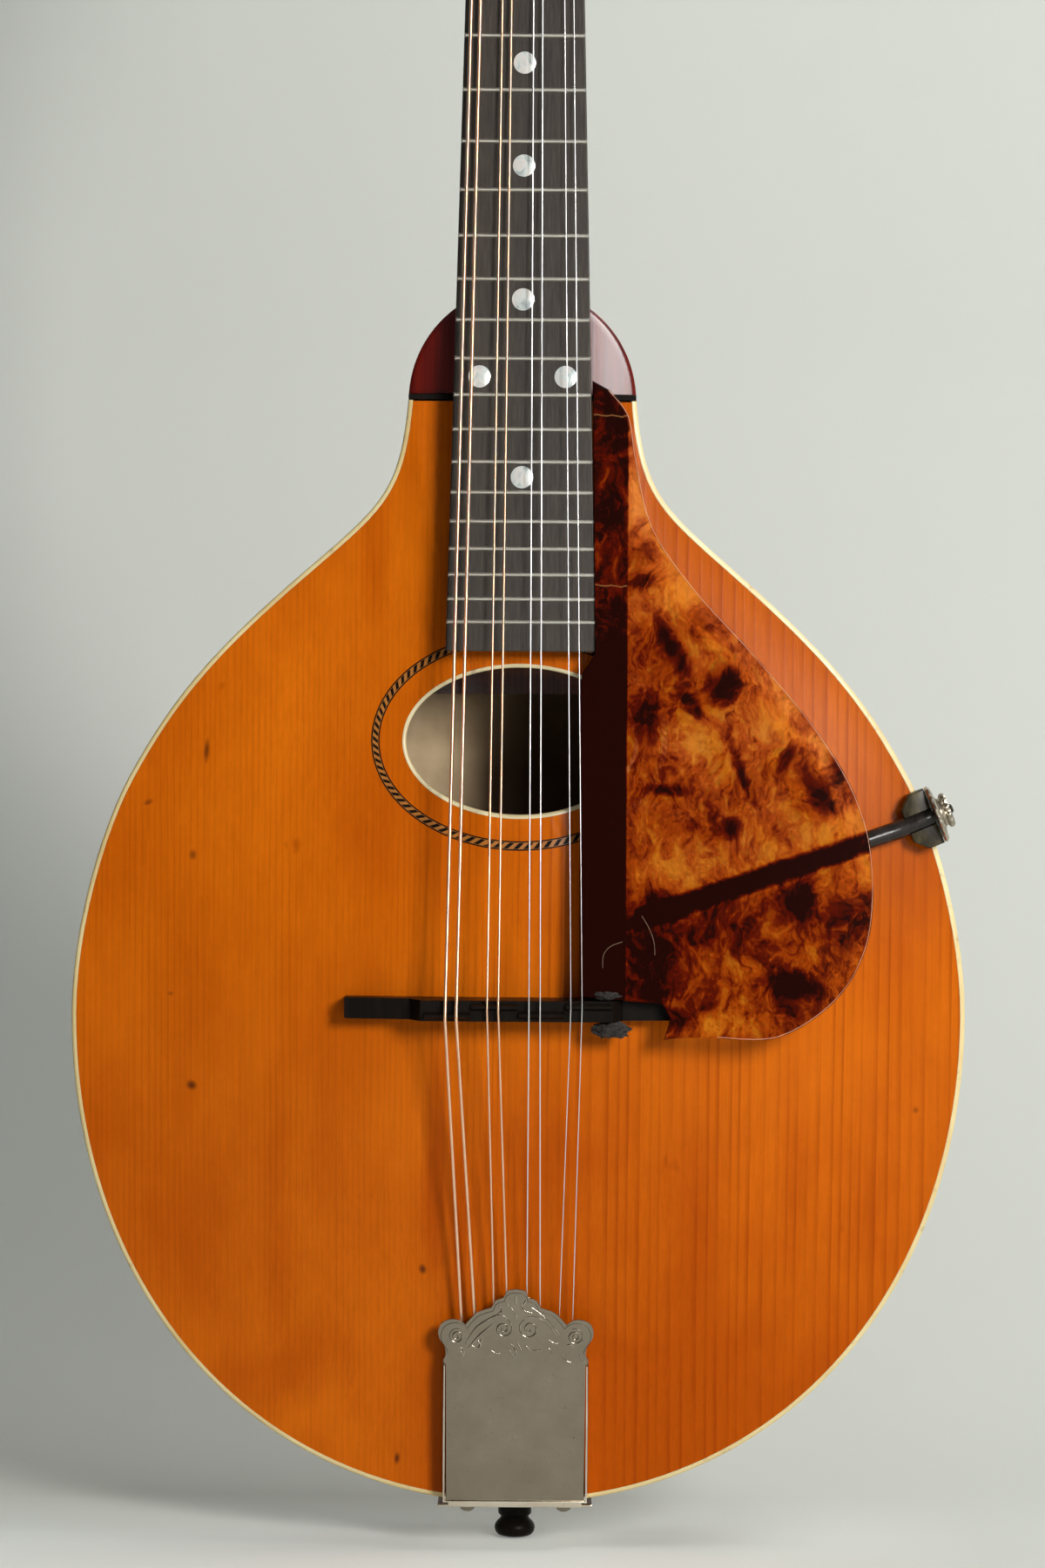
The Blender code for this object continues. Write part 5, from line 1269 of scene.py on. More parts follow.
def makeKnob(number, sign, y):
    spot = Matrix.Translation((sign * tuner["postX"], y - wormDrop, gearMiddle))
    matrix = headFrame @ spot @ turned(sign * 90, "Y")
    end = tuner["lugOffset"] + tuner["lugThick"]
    half = tuner["wormLength"] / 2
    shaft, core = tuner["shaft"], tuner["wormCore"]
    start = tuner["buttonStart"]
    bm = bmesh.new()
    lathe(bm, [(0, start + 0.006), (shaft, start + 0.006), (shaft, start + 0.0008), (0.0026, start + 0.0006),
               (0.0024, start - 0.0012), (shaft, start - 0.0018), (shaft, half + 0.0003), (core, half),
               (core, -half), (shaft, -half - 0.0003), (shaft, -end), (shaft * 0.7, -end - 0.0004),
               (0, -end - 0.0005)], 24, matrix)
    thread = []
    steps = tuner["threadSteps"]
    reach = core + 0.0001
    for i in range(steps + 1):
        angle = 2 * math.pi * tuner["threadTurns"] * i / steps
        along = -half + 0.0005 + (2 * half - 0.001) * i / steps
        thread.append(matrix @ Vector((reach * math.cos(angle), reach * math.sin(angle), along)))
    sweep(bm, thread, tuner["threadHalf"], 6)
    addPiece(f"worm_{number}", bm, "nickel", f"knob_{number}", [f"tuner_worm_{number}"], 35)

    bm = bmesh.new()
    wide, thick, long = tuner["buttonWidth"] / 2, tuner["buttonThick"] / 2, tuner["buttonLength"]
    rings = []
    rows, sides = 14, 28
    for j in range(rows + 1):
        t = math.pi * j / rows
        reach = math.sin(t) ** 0.62
        up = start + long / 2 - math.cos(t) * long / 2
        waistIn = 1 - 0.10 * math.exp(-((j / rows - 0.12) / 0.10) ** 2)
        if j in (0, rows):
            rings.append([bm.verts.new(matrix @ Vector((0, 0, up)))])
            continue
        ring = []
        for turn in roundTurns(sides):
            ca, sa = math.cos(turn), math.sin(turn)
            x = thick * reach * waistIn * math.copysign(abs(ca) ** 0.8, ca)
            y = wide * reach * waistIn * math.copysign(abs(sa) ** 0.9, sa)
            ring.append(bm.verts.new(matrix @ Vector((x, y, up))))
        rings.append(ring)
    skin(bm, rings)
    addPiece(f"button_{number}", bm, "ivory", f"knob_{number}", [f"tuner_button_{number}"], 60)


makeTunerPlates()
for number, sign, y in tunerPlaces():
    makePost(number, sign, y)
    makeKnob(number, sign, y)
print("tuners fitted")

# Strings, their loops at the tailpiece and their turns on the posts


def makeStrings():
    places = {number: (sign, y) for number, sign, y in tunerPlaces()}
    loops = {"wound": bmesh.new(), "plain": bmesh.new()}
    clear = stringSet["clear"]
    nutFront = boardFront(board["nutZ"]) - board["nutProud"]
    routes = zip(stringPlaces("hook"), stringPlaces("bridge"), stringPlaces("nut"), stringSet["posts"])
    for i, (hookX, bridgeX, nutX, number) in enumerate(routes):
        radius = stringSet["radii"][i // 2]
        kind = "wound" if i < 4 else "plain"
        sign, postY = places[number]
        wrap = tuner["waist"] + radius + 0.00003
        hook = Vector((hookX, stringSet["hookY"], stringSet["hookZ"] + stringSet["hookRadius"] + radius))
        bridge = Vector((bridgeX, stringSet["saddleY"] - clear - radius,
                         stringSet["bridgeZ"] + stringSet["saddleShifts"][i // 2]))
        overNut = nutFront - clear - radius
        nut = Vector((nutX, overNut, board["nutZ"] + 0.0006))
        nutEnd = Vector((nutX, overNut + 0.00004, board["nutZ"] + board["nutThick"] - 0.0004))
        end = headFrame @ Vector((sign * (tuner["postX"] - wrap), postY, tuner["stringHeight"]))
        points = [hook, hook.lerp(bridge, 0.5), bridge - Vector((0, 0, 0.0008)),
                  bridge + Vector((0, 0, 0.0008))]
        points[2].y += 0.00012
        points += [bridge.lerp(nut, share) for share in (0.15, 0.33, 0.5, 0.67, 0.85)]
        points += [nut, nutEnd, nutEnd.lerp(end, 0.5), end]
        bm = bmesh.new()
        sweep(bm, points, radius, 12)
        addPiece(f"string{i + 1}", bm, kind, nodes=[f"string_{i + 1}"], sharp=60)

        loop = loops[kind]
        thin = min(radius, stringSet["loopHalf"])
        reach = stringSet["hookRadius"] + thin
        ring = [(hookX + reach * math.cos(a), stringSet["hookY"], stringSet["hookZ"] + reach * math.sin(a))
                for a in roundTurns(24)]
        sweep(loop, ring, thin, 8, closed=True)
        direction = (bridge - hook).normalized()
        side = direction.cross(Vector((1, 0, 0))).normalized()
        twist = []
        reach = radius + thin * 0.75
        steps = stringSet["twistSteps"]
        for k in range(steps + 1):
            angle = 2 * math.pi * stringSet["twistTurns"] * k / steps
            spot = hook + direction * (0.0008 + stringSet["twistLength"] * k / steps)
            twist.append(spot + Vector((1, 0, 0)) * math.cos(angle) * reach + side * math.sin(angle) * reach)
        sweep(loop, twist, thin * 0.8, 6)

        coil = bmesh.new()
        turn = -1 if sign > 0 else 1
        begin = math.pi if sign > 0 else 0.0
        count = stringSet["coilTurns"]
        line = []
        steps = stringSet["coilSteps"]
        for k in range(steps + 1):
            angle = begin + turn * 2 * math.pi * count * k / steps
            drop = tuner["stringHeight"] - max(2.1 * radius, 0.0006) * count * k / steps
            x = sign * tuner["postX"] + wrap * math.cos(angle)
            line.append(headFrame @ Vector((x, postY + wrap * math.sin(angle), drop)))
        sweep(coil, line, radius, 8)
        addPiece(f"coil_{number}", coil, kind, f"post_{number}", sharp=60)
    for kind, loop in loops.items():
        addPiece(f"{kind}Loops", loop, kind, sharp=60)


makeStrings()
print("strings tuned")

# Bridge

bridgeWood = {
    "half": 0.0500, "width": 0.0060, "saddleHalf": 0.0270, "saddleHeight": 0.0016, "saddleWidth": 0.0022,
    "footTop": -0.0365, "footDrop": 0.0012, "slants": (0.0040, 0.0010, 0.0030), "edge": 0.00035,
}


def makeBridge():
    half, edge = bridgeWood["half"], bridgeWood["saddleHalf"]
    z = stringSet["bridgeZ"]
    low, high = z - bridgeWood["width"] / 2, z + bridgeWood["width"] / 2
    top = stringSet["saddleY"] + bridgeWood["saddleHeight"]
    foot, drop = bridgeWood["footTop"], bridgeWood["footDrop"]
    a, b, c = bridgeWood["slants"]
    shape = [(-half, foot), (-edge - a, foot - drop), (-edge - b, top), (edge, top), (edge + c, foot - drop),
             (half, foot)]
    xs = [half * i / 16 for i in range(16, -17, -1)]
    floor = [(x, min(topFront(x, low), topFront(x, high)) - 0.00005) for x in xs]
    bm = bmesh.new()
    prism(bm, shape + floor, low, high, Matrix(), bridgeWood["edge"], 2)
    span = 2 * edge / 4
    for i, shift in enumerate(stringSet["saddleShifts"]):
        x = -edge + i * span
        middle = z + shift
        ridge = bridgeWood["saddleWidth"] / 2
        peak = stringSet["saddleY"]
        front = min(middle - ridge, high - ridge * 2)
        section = [(low + 0.0002 if shift < 0 else front, top + 0.0004), (front, top),
                   (middle - 0.00035, peak), (middle + 0.00035, peak), (middle + ridge, top),
                   (middle + ridge, top + 0.0004)]
        rings = [[(px, py, pz) for pz, py in section] for px in (x + 0.00015, x + span - 0.00015)]
        loft(bm, rings)
    addPiece("ebonyBridge", bm, "ebony", nodes=["bridge"], sharp=30, weighted=True)


wad = {
    # each (middle, half sizes)
    "lumps": [((0.0254, -0.0410, 0.1640), (0.0040, 0.0022, 0.0013)),
              ((0.0266, -0.0400, 0.1541), (0.0052, 0.0032, 0.0024))],
    # each (fineness, depth)
    "roughness": [(6.3, 0.26), (15, 0.16)],
}


def makeWad():
    # grey felt tucked between the bridge and the guard's strip
    bm = bmesh.new()
    for place, size in wad["lumps"]:
        made = bmesh.new()
        bmesh.ops.create_icosphere(made, subdivisions=4, radius=1.0)
        for vert in made.verts:
            push = 1 + 0.34 * lumps.noise(vert.co * 2.1 + Vector(place) * 90)
            for fine, depth in wad["roughness"]:
                push += depth * lumps.noise(vert.co * fine)
            vert.co = Vector([item * push * wide for item, wide in zip(vert.co, size)]) + Vector(place)
        addTo(bm, made)
    addPiece("feltWad", bm, "felt", sharp=80)


makeBridge()
makeWad()
print("bridge set")

# Pickguard, its strip, arm and clamp

guard = {
    "topY": -0.0283, "topZ": 0.3400, "slope": 4.51, "thick": 0.0016, "edge": 0.0004,
    "left": [(0.0174, 0.1634), (0.0171, 0.2490), (0.0176, 0.2560)], "corner": (0.0250, 0.3373),
    "rim": [(0.0306, 0.3300), (0.0330, 0.3170), (0.0377, 0.2980), (0.0498, 0.2803), (0.0664, 0.2623),
            (0.0845, 0.2409), (0.0961, 0.2217), (0.1011, 0.2029), (0.1000, 0.1800), (0.0911, 0.1634),
            (0.0747, 0.1525), (0.0570, 0.1521)],
    "tip": [(0.0493, 0.1527), (0.0416, 0.1515), (0.0440, 0.1578), (0.0416, 0.1621)],
    "stripThick": 0.0050, "stripRight": 0.0308, "rimHalf": 0.00011, "rimOut": 0.00032,
    "scratches": [[(0.0352, 0.1868), (0.0372, 0.1835), (0.0387, 0.1795), (0.0390, 0.1757)],
                  [(0.0297, 0.1794), (0.0262, 0.1780), (0.0243, 0.1755), (0.0241, 0.1719)]],
}


def guardFront(z):
    return guard["topY"] + (z - guard["topZ"]) * math.tan(math.radians(guard["slope"]))


guardFrame = Matrix.Translation((0, guardFront(0), 0)) @ turned(90 - guard["slope"], "X")


def makeGuard():
    lean = math.cos(math.radians(guard["slope"]))
    top = guard["topZ"]
    ring = guard["left"] + [(boardHalf(board["endZ"]) + 0.0003, board["endZ"] - 0.0002),
                            (boardHalf(top) + 0.0003, top), guard["corner"]]
    ring += smoothPath(guard["rim"], 10) + guard["tip"]
    bm = bmesh.new()
    prism(bm, [(x, z / lean) for x, z in ring], -guard["thick"], 0, guardFrame, guard["edge"], 3)
    addPiece("tortoiseGuard", bm, "tortoise", nodes=["pickguard"], sharp=35,
             weighted=True)


clamp = {
    "matrix": ((0.92258, -0.385807, 0.0, 0.1177), (0.0, 0.0, -1.0, 0.0), (0.385807, 0.92258, 0.0, 0.2145),
               (0.0, 0.0, 0.0, 1.0)),
    "forward": 0.0240, "reach": 0.0060, "half": 0.0084, "front": 0.0255, "wall": 0.0020, "hook": 0.0030,
    "clearance": 0.0009,
    "armStartZ": 0.1853, "thin": 0.00165, "thick": 0.00270, "thread": 0.0013,
    "flange": 0.0086, "neck": 0.0042, "outer": 0.0052, "length": 0.0046, "scallops": 13,
    "scallopDepth": 0.00055,
}
clampFrame = Matrix(clamp["matrix"])
screwTurn = Matrix.Translation((0, 0, clamp["forward"])) @ turned(90, "Y")


def makeArm():
    middle = guardFront(clamp["armStartZ"]) + guard["thick"] + 0.0003 + guard["stripThick"] / 2
    start = Vector((guard["stripRight"] + 0.0009, middle, clamp["armStartZ"]))
    entry = clampFrame @ Vector((-clamp["reach"] - 0.0030, 0, clamp["forward"]))
    end = clampFrame @ Vector((clamp["wall"] + 0.0003, 0, clamp["forward"]))
    points = [start.lerp(entry, i / 24) for i in range(25)] + [entry.lerp(end, i / 8) for i in range(1, 9)]
    radii = [clamp["thin"] + (clamp["thick"] - clamp["thin"]) * min(i / 24, 1.0) for i in range(len(points))]
    radii[-1] -= 0.0003
    bm = bmesh.new()
    sweep(bm, points, radii, 28)
    lathe(bm, [(0, 0.0), (clamp["thread"], 0.0), (clamp["thread"], 0.0079), (clamp["thread"] * 0.7, 0.0082),
               (0, 0.0082)], 20,
          clampFrame @ screwTurn)
    addPiece("guardArm", bm, "rubber", nodes=["guard_arm"], sharp=50)


def makeJaw():
    half = clamp["half"]
    wallHalf = half * 0.78
    outside = 0.0003 + clamp["wall"]
    reach = clamp["reach"]
    foot = [(-reach, -half * 0.6), (-reach, half * 0.6), (-reach * 0.4, half), (outside, half),
            (outside, -half), (-reach * 0.4, -half)]
    bm = bmesh.new()
    prism(bm, foot, mid + clamp["clearance"], clamp["front"], clampFrame, 0.0005, 3)
    wall = bmesh.new()
    brick(wall, (0.0003, -wallHalf, -mid - clamp["hook"]),
          (outside - 0.0001, wallHalf, clamp["front"] - 0.0008), clampFrame, 0.0004)
    hook = bmesh.new()
    brick(hook, (-reach * 0.8, -wallHalf + 0.0002, -mid - clamp["hook"]),
          (outside - 0.0004, wallHalf - 0.0002, -mid - clamp["clearance"]), clampFrame, 0.0005)
    groove = bmesh.new()
    lathe(groove, [(0, -0.012), (clamp["thick"] + 0.0002, -0.012), (clamp["thick"] + 0.0002, 0.006),
                   (0, 0.006)], 28, clampFrame @ screwTurn)
    bm = carved(bm, [(wall, "UNION"), (hook, "UNION"), (groove, "DIFFERENCE")])
    addPiece("hornJaw", bm, "horn", nodes=["clamp_jaw"], sharp=32)


def makeThumbNut():
    matrix = clampFrame @ Matrix.Translation((0.0026, 0, clamp["forward"])) @ turned(90, "Y")
    long, flange, outer, inner = clamp["length"], clamp["flange"], clamp["outer"], clamp["neck"]

    def ripple(angle, radius):
        if radius < inner + 0.0002:
            return 0.0
        share = min((radius - inner) / (outer - inner), 1.0)
        return -clamp["scallopDepth"] * share * (0.5 - 0.5 * math.cos(angle * clamp["scallops"]))

    bore = clamp["thread"] + 0.00025
    profile = [(bore, 0.0), (flange - 0.0003, 0.0), (flange, 0.0003), (flange, 0.0008),
               (flange - 0.0006, 0.0013), (inner + 0.0012, long * 0.36), (inner, long * 0.44),
               (inner, long * 0.58), (outer - 0.0004, long * 0.66), (outer, long * 0.74),
               (outer, long * 0.90), (outer - 0.0004, long), (outer - 0.0012, long),
               (outer - 0.0016, long * 0.84), (bore + 0.0012, long * 0.70), (bore, long * 0.70)]
    bm = bmesh.new()
    lathe(bm, profile, 104, matrix, ripple)
    addPiece("scallopedNut", bm, "warmNickel", "thumb_nut", ["clamp_thumb_nut"], 40)


def makeScratches():
    # two pale hairline scratches over the strip
    bm = bmesh.new()
    for line in guard["scratches"]:
        spots = [(x, guardFront(z) - 0.00001, z) for x, z in smoothPath(line, 6)]
        sweep(bm, spots, 0.00006, 6)
    addPiece("guardScratches", bm, "scratch", sharp=60)


def makeGuardRim():
    # painted highlight: a pale line just outside the free edge stands in for the light the edge catches
    bm = bmesh.new()
    rim = smoothPath([guard["corner"], *guard["rim"]], 10)
    spots = []
    for i, (x, z) in enumerate(rim):
        before, after = rim[max(i - 1, 0)], rim[min(i + 1, len(rim) - 1)]
        dx, dz = after[0] - before[0], after[1] - before[1]
        length = math.hypot(dx, dz)
        out = guard["rimOut"] / length
        spots.append((x + out * dz, guardFront(z) + 0.00002, z - out * dx))
    sweep(bm, spots, guard["rimHalf"], 8)
    addPiece("guardRimHighlight", bm, "rimHighlight", sharp=60)


makeGuard()
makeGuardRim()
makeScratches()
makeArm()
makeJaw()
makeThumbNut()
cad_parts["guard_strip"].material_slots[0].material = finishes["strip"]
print("guard hung")

# Tailpiece: base with hooks, engraved cover, and the end pin

tail = {
    "halfWidth": 0.0195, "metal": 0.0010, "flange": 0.0007, "bottomY": -0.0196, "slope": 0.1087,
    "topZ": 0.0600,
    "wallHalf": 0.0226, "wallFront": -0.0191, "wallBack": 0.0095, "coverHalf": 0.0210, "coverMetal": 0.0008,
    "fold": 0.0005, "foldGap": 0.0004, "foldDrop": 0.0009,
    "coverBottom": (-0.0246, 0.0152), "coverTilt": 7.5, "sideTop": 0.0415, "sideDepth": 0.0058,
    "edge": [(0.0210, 0.0421), (0.0203, 0.0436), (0.0206, 0.0461), (0.0221, 0.0486), (0.0224, 0.0510),
             (0.0211, 0.0534), (0.0181, 0.0543), (0.0158, 0.0536), (0.0146, 0.0525)],
    "shoulder": [(0.0134, 0.0542), (0.0112, 0.0563), (0.0085, 0.0574), (0.0070, 0.0578)],
    "crest": [(0.0062, 0.0596), (0.0050, 0.0604), (0.0036, 0.0607), (0.0030, 0.0622), (0.0017, 0.0631),
              (0.0000, 0.0633)],
    # each (x, y, radius, height)
    "screws": [(-0.0139, -0.0165, 0.0023, 0.0017), (0.0143, -0.0165, 0.0023, 0.0017),
               (0.0, 0.0062, 0.0020, 0.0010)],
    "lineRadius": 0.00015,
    # the engraving, in millimetres on the cover
    "strokes": [
        [(-14.4, 46.8), (-11.6, 51.6), (-7.4, 54.6), (-4.6, 55.6), (-2.0, 54.2), (-1.0, 52.0)],
        [(-13.6, 45.6), (-10.4, 49.6), (-6.6, 52.8)],
        [(4.6, 58.0), (7.2, 56.0), (10.4, 53.0), (13.6, 48.4)],
        [(3.2, 55.0), (6.6, 54.8), (9.6, 52.4), (12.2, 49.4)],
        [(-4.6, 58.4), (-4.0, 57.0), (-5.2, 55.8)],
        [(-1.4, 57.8), (-0.2, 56.2), (0.3, 54.6)],
        [(1.5, 59.4), (2.3, 57.2), (4.6, 56.4)],
        [(-3.0, 60.2), (-2.2, 58.4)], [(0.0, 61.4), (0.0, 59.2)], [(3.0, 60.2), (2.2, 58.6)],
        [(-13.0, 46.7), (-10.8, 45.7), (-10.0, 47.7), (-9.8, 48.4)], [(-10.9, 48.0), (-9.9, 46.4)],
        [(-7.2, 45.2), (-5.8, 44.3), (-4.4, 44.2)],
        [(-1.8, 45.2), (-0.2, 42.6)], [(0.2, 48.2), (1.6, 45.2)], [(-1.4, 47.2), (-0.2, 45.6), (0.4, 43.0)],
        [(2.9, 46.6), (4.6, 45.1), (7.6, 45.2)],
        [(9.8, 48.2), (11.0, 47.4), (12.3, 47.3)], [(9.3, 46.0), (10.2, 45.4)],
        [(13.4, 44.5), (14.4, 42.4), (16.0, 41.5)],
        [(18.6, 43.8), (19.4, 42.2), (20.2, 41.6)],
        [(-16.6, 46.2), (-15.2, 45.4), (-14.9, 43.8)], [(-15.8, 44.6), (-15.0, 43.2)],
        [(14.8, 46.6), (16.0, 46.9), (16.8, 46.0)],
    ],
    # each (x, y, radius, turns, first angle, way)
    "spirals": [(-17.0, 49.2, 2.3, 2.1, 1.2, 1), (17.2, 49.2, 2.5, 2.1, 1.9, -1),
                (-3.5, 51.5, 2.7, 1.8, 1.1, -1), (4.0, 51.5, 3.1, 1.7, 2.0, 1)],
}
coverFrame = Matrix.Translation((0, *tail["coverBottom"])) @ turned(90 + tail["coverTilt"], "X")


def baseBack(z):
    return tail["bottomY"] - (z - body["bottom"]) * tail["slope"]


def makeBase():
    wallTop = body["bottom"] - 0.0001
    wallLow = body["bottom"] - 0.0002 - tail["flange"]
    metal = tail["metal"]
    profile = [(baseBack(tail["topZ"]), tail["topZ"]), (baseBack(tail["topZ"]) - metal, tail["topZ"]),
               (baseBack(wallLow) - metal, wallLow + 0.0006), (baseBack(wallLow) - metal + 0.0006, wallLow),
               (0.0, wallLow), (0.0, wallTop), (baseBack(wallTop), wallTop)]
    side = Matrix(((0, 0, 1, 0), (1, 0, 0, 0), (0, 1, 0, 0), (0, 0, 0, 1)))
    bm = bmesh.new()
    prism(bm, profile, -tail["halfWidth"], tail["halfWidth"], side, 0.0002, 2)
    brick(bm, (-tail["wallHalf"], tail["wallFront"], wallLow - 0.0001),
          (tail["wallHalf"], tail["wallBack"], wallTop - 0.0001), Matrix(), 0.0003)
    for x in stringPlaces("hook"):
        z = stringSet["hookZ"]
        y = baseBack(z) - metal / 2
        front = stringSet["hookY"] - 0.0012
        sweep(bm, [(x, y, z), (x, (y + front) / 2, z), (x, front + 0.0004, z - 0.0001),
                   (x, front + 0.0001, z - 0.0006), (x, front + 0.0001, z - 0.0012)],
              [0.0009, 0.0009, 0.0009, 0.0008, 0.0006], 14)
    addPiece("tailBase", bm, "brightNickel", nodes=["tailpiece_base"], sharp=35,
             weighted=True)
    bm = bmesh.new()
    for x, y, radius, height in tail["screws"]:
        screwHead(bm, Matrix.Translation((x, y, wallLow - 0.0001)) @ turned(180, "X"), radius, height)
    addPiece("tailScrews", bm, "nickel", sharp=35)


def coverHalfPath():
    plateHalf = tail["coverHalf"] - tail["fold"] - tail["foldGap"]
    corner = [(plateHalf, 0.0), (plateHalf, tail["sideTop"] - 0.0006),
              (tail["coverHalf"], tail["sideTop"] - 0.0002)]
    corner += smoothPath(tail["edge"], 6) + smoothPath(tail["shoulder"], 5)
    return corner + smoothPath(tail["crest"], 5)


def makeCover():
    half = coverHalfPath()
    ring = half + [(-x, y) for x, y in reversed(half[:-1])]
    metal = tail["coverMetal"]
    bm = bmesh.new()
    prism(bm, ring, -metal, 0, coverFrame, 0.00022, 2)
    addPiece("engravedCover", bm, "nickel", "cover", ["tailpiece_cover"], 35, True)
    # the folded sides and lower edge stand a hair proud, past a fine gap
    bm = bmesh.new()
    fold, drop, front = tail["fold"], tail["foldDrop"], 0.00012
    for sign in (-1, 1):
        outer = sign * tail["coverHalf"]
        inner = sign * (tail["coverHalf"] - fold)
        rings = []
        for y, depth in ((-drop, 0.0050), (tail["sideTop"], tail["sideDepth"])):
            lip = front if y < 0.04 else -metal
            section = ((inner, lip), (outer - sign * 0.0002, lip), (outer, lip - 0.0002), (outer, -depth),
                       (inner, -depth))
            rings.append([coverFrame @ Vector((x, y, z)) for x, z in section])
            if y < 0.04:
                rings.append([coverFrame @ Vector((x, tail["sideTop"] - 0.0012, z)) for x, z in section])
        loft(bm, rings)
    inner = tail["coverHalf"] - fold + 0.0001
    brick(bm, (-inner, -drop, -0.0040), (inner, -drop + 0.0005, front), coverFrame, 0.0001)
    brick(bm, (-inner, -drop + 0.0004, -metal - 0.0002), (inner, 0.0008, -metal + 0.0001), coverFrame)
    addPiece("coverFolds", bm, "brightNickel", "cover", sharp=35)
    lines = [smoothPath(stroke, 6) for stroke in tail["strokes"]]
    for x, y, radius, turns, start, way in tail["spirals"]:
        swirl = []
        for i in range(40):
            t = i / 39
            angle = start + way * 2 * math.pi * turns * t
            swirl.append((x + radius * (1 - 0.88 * t) * math.cos(angle),
                          y + radius * (1 - 0.88 * t) * math.sin(angle)))
        lines.append(swirl)
    # each cut is a bright burr with a dark line beside it, painted shade of the cut's shaded wall; the border
    # line inside the edge is the engraved contour, drawn in the same dark metal as painted shade
    thin = tail["lineRadius"]
    for name, shift, share, finish in (("coverScrolls", 0.0, 1.0, "brightNickel"),
                                       ("coverCutShade", thin * 1.5, 0.9, "groove")):
        bm = bmesh.new()
        for line in lines:
            spots = [coverFrame @ Vector((x / 1000 - shift, y / 1000 + shift * 0.6, 0.00001))
                     for x, y in line]
            last = len(spots) - 1
            radii = [thin * share * (0.45 + 0.55 * math.sin(math.pi * min(max(i / last, 0.02), 0.98)))
                     for i in range(last + 1)]
            sweep(bm, spots, radii, 6)
        if finish == "groove":
            for sign in (-1, 1):
                border = [(sign * x * 0.965, y - 0.0010) for x, y in half[13:]]
                sweep(bm, [coverFrame @ Vector((x, y, 0.0)) for x, y in border], thin * 0.6, 6)
        addPiece(name, bm, finish, "cover", sharp=60)


def makePin():
    top = body["bottom"] - 0.0002 - tail["flange"] - 0.0002
    profile = [(0, 0.0), (0.0036, 0.0), (0.0050, 0.0004), (0.0057, 0.0012), (0.0060, 0.0024),
               (0.0058, 0.0034), (0.0051, 0.0044), (0.0044, 0.0050), (0.0041, 0.0055), (0.0042, 0.0060),
               (0.0047, 0.0064), (0.0049, 0.0068), (0.0049, top - 0.0004), (0.0047, top), (0.0040, top),
               (0.0034, 0.0330), (0, 0.0330)]
    bm = bmesh.new()
    lathe(bm, profile, 48, Matrix())
    addPiece("ebonyPin", bm, "ebony", nodes=["end_pin"], sharp=40)


makeBase()
makeCover()
makePin()
print("tailpiece fitted")

# Studio: a pale seamless sweep and soft lights

studio = {
    "floorZ": -0.0003, "wallY": 0.46, "sweepStart": 0.08, "sheetColumns": (4.0, 1.5, -1.5, -4.0),
    "paper": (0.62, 0.64, 0.60),
    # each (place, size, power, color, aim); the strip lamp gives reflections only
    "lamps": {
        "keyLamp": ((0.72, -1.25, 0.68), (0.34, 0.42), 19.0, (1.0, 0.985, 0.96), (0.0, 0.0, 0.20)),
        "fillLamp": ((-0.5, -1.6, 1.2), (1.2, 1.2), 0.6, (0.96, 0.98, 1.0), (0.0, 0.0, 0.20)),
        "stripLamp": ((0.40, -1.20, 0.46), (0.16, 0.34), 5.0, (1.0, 0.98, 0.96), (0.03, 0.0, 0.36)),
        "wallLamp": ((0.9, -0.1, 1.5), (1.0, 0.7), 12.5, (1.0, 1.0, 1.0), (0.5, 0.46, 0.3)),
    },
    # dark near the horizon, so that dark woods stay dark, and pale where the camera sees it
    "sky": (0.94, 0.95, 0.93), "horizon": 0.02, "zenith": 0.11, "riseFrom": 0.10, "riseTo": 0.80,
    "seen": 0.62,
    # painted light seen only by the lens and in reflections, added to the paper: most on the floor in front,
    # strongest towards the left, and a little on the upper wall
    "floorGlow": 0.19, "wallGlow": 0.08, "glowTint": (0.97, 1.0, 0.96),
}


def paperFinish(oneSided):
    # the sweep is seen and lit from the front; from behind it is left open
    mix = Recipe("backdropPaper" if oneSided else "floorPaper")
    cloud = mix.noise((3, 3, 3))
    soft = tuple(item * 0.96 for item in studio["paper"])
    mix.finish(color=mix.blend(mix.span(cloud, 0.3, 0.7), studio["paper"], soft), roughness=0.85, gloss=0.15)
    if oneSided:
        x, y, z = mix.axes()
        rays = mix.node("ShaderNodeLightPath").outputs
        seen = mix.calc("MAXIMUM", rays["Is Camera Ray"], rays["Is Glossy Ray"])
        seen = mix.calc("MAXIMUM", seen, rays["Is Transmission Ray"])
        # painted light on the floor in front and the upper wall
        near = mix.span(y, 0.0, 0.06, studio["floorGlow"], 0.0) * mix.span(x, 0.02, 0.14, 1.0, 0.1)
        glow = near + mix.span(z, 0.05, 0.35, 0.0, studio["wallGlow"])
        mix.put(mix.shader.inputs["Emission Color"], studio["glowTint"])
        mix.put(mix.shader.inputs["Emission Strength"], seen * glow)
        behind = mix.node("ShaderNodeNewGeometry").outputs["Backfacing"]
        clear = mix.node("ShaderNodeBsdfTransparent")
        join = mix.node("ShaderNodeMixShader", [(0, mix.calc("MAXIMUM", behind, rays["Is Shadow Ray"])),
                                                (1, mix.shader.outputs[0]), (2, clear.outputs[0])])
        mix.put(mix.tree.nodes["Material Output"].inputs["Surface"], join.outputs[0])
    return mix.material


def makeSheet(name, path, material):
    bm = bmesh.new()
    rows = [[bm.verts.new((x, y, z)) for y, z in path] for x in studio["sheetColumns"]]
    for row, after in zip(rows, rows[1:]):
        for i in range(len(path) - 1):
            face = bm.faces.new((row[i], row[i + 1], after[i + 1], after[i]))
            face.smooth = True
            face.normal_update()
            if face.normal.z - face.normal.y < 0:
                face.normal_flip()
    item = linked(name, bm)
    item.data.materials.append(material)


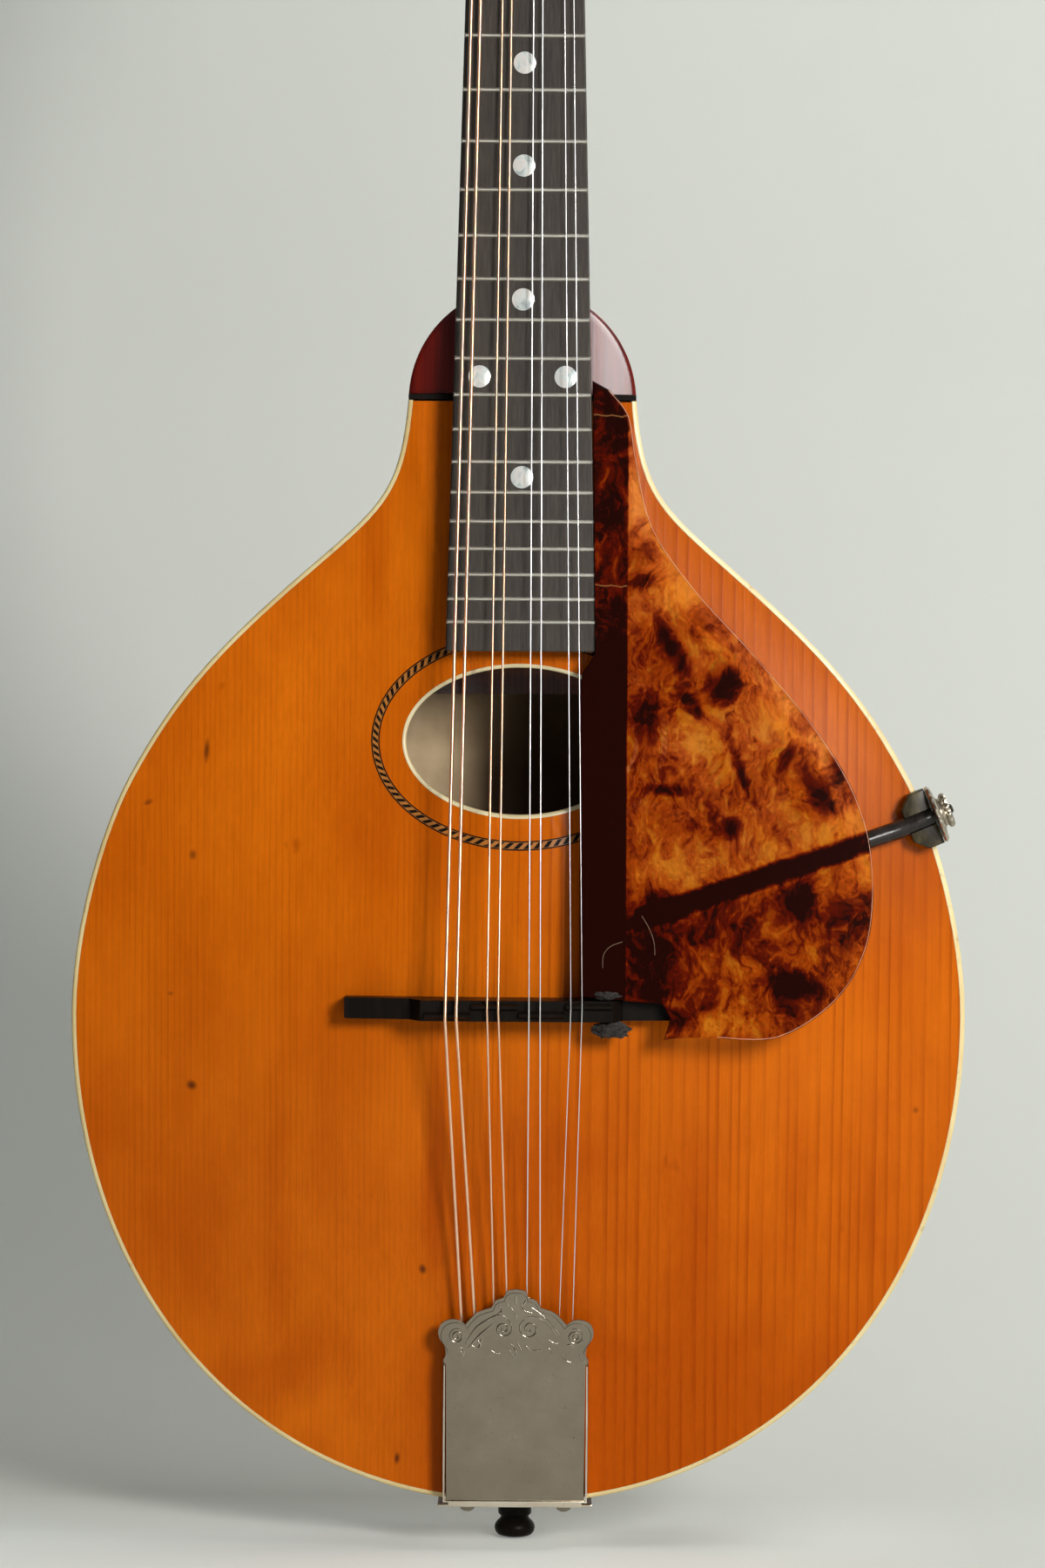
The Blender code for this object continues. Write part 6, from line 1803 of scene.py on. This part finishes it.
def makeBackdrop():
    start, wall, low = studio["sweepStart"], studio["wallY"], studio["floorZ"]
    radius = wall - start
    path = [(-3.0, low), (-1.0, low), (start, low)]
    for a in [math.radians(degrees) for degrees in range(5, 91, 5)]:
        path.append((start + radius * math.sin(a), low + radius * (1 - math.cos(a))))
    path += [(wall, 1.2), (wall, 3.0)]
    makeSheet("backdrop", path, paperFinish(True))
    makeSheet("floorBehind", [(start - 0.01, low - 0.0002), (2.0, low - 0.0002), (6.0, low - 0.0002)],
              paperFinish(False))


def makeLamp(name, spot, size, power, color, aim):
    data = bpy.data.lights.new(name, "AREA")
    data.shape = "RECTANGLE"
    data.size, data.size_y = size
    data.energy = power
    data.color = color
    item = bpy.data.objects.new(name, data)
    bpy.context.scene.collection.objects.link(item)
    item.location = spot
    item.rotation_euler = (Vector(aim) - Vector(spot)).to_track_quat("-Z", "Y").to_euler()
    return item


def makeAir():
    world = bpy.data.worlds.new("studioAir")
    world.use_nodes = True
    air = world.node_tree
    paint = air.nodes["Background"].inputs
    paint[0].default_value = (*studio["sky"], 1.0)
    way = air.nodes.new("ShaderNodeTexCoord")
    parts = air.nodes.new("ShaderNodeSeparateXYZ")
    rise = air.nodes.new("ShaderNodeMapRange")
    for index, key in enumerate(("riseFrom", "riseTo", "horizon", "zenith")):
        rise.inputs[index + 1].default_value = studio[key]
    rays = air.nodes.new("ShaderNodeLightPath")
    seen = air.nodes.new("ShaderNodeMix")
    seen.data_type = "FLOAT"
    seen.inputs[3].default_value = studio["seen"]
    for start, end in ((way.outputs["Generated"], parts.inputs[0]), (parts.outputs[2], rise.inputs[0]),
                       (rays.outputs["Is Camera Ray"], seen.inputs[0]), (rise.outputs[0], seen.inputs[2]),
                       (seen.outputs[0], paint[1])):
        air.links.new(start, end)
    bpy.context.scene.world = world


makeBackdrop()
for lampName, values in studio["lamps"].items():
    lamp = makeLamp(lampName, *values)
    lamp.visible_diffuse = lampName != "stripLamp"
makeAir()
bpy.context.scene.view_settings.view_transform = "Standard"
print("studio lit")
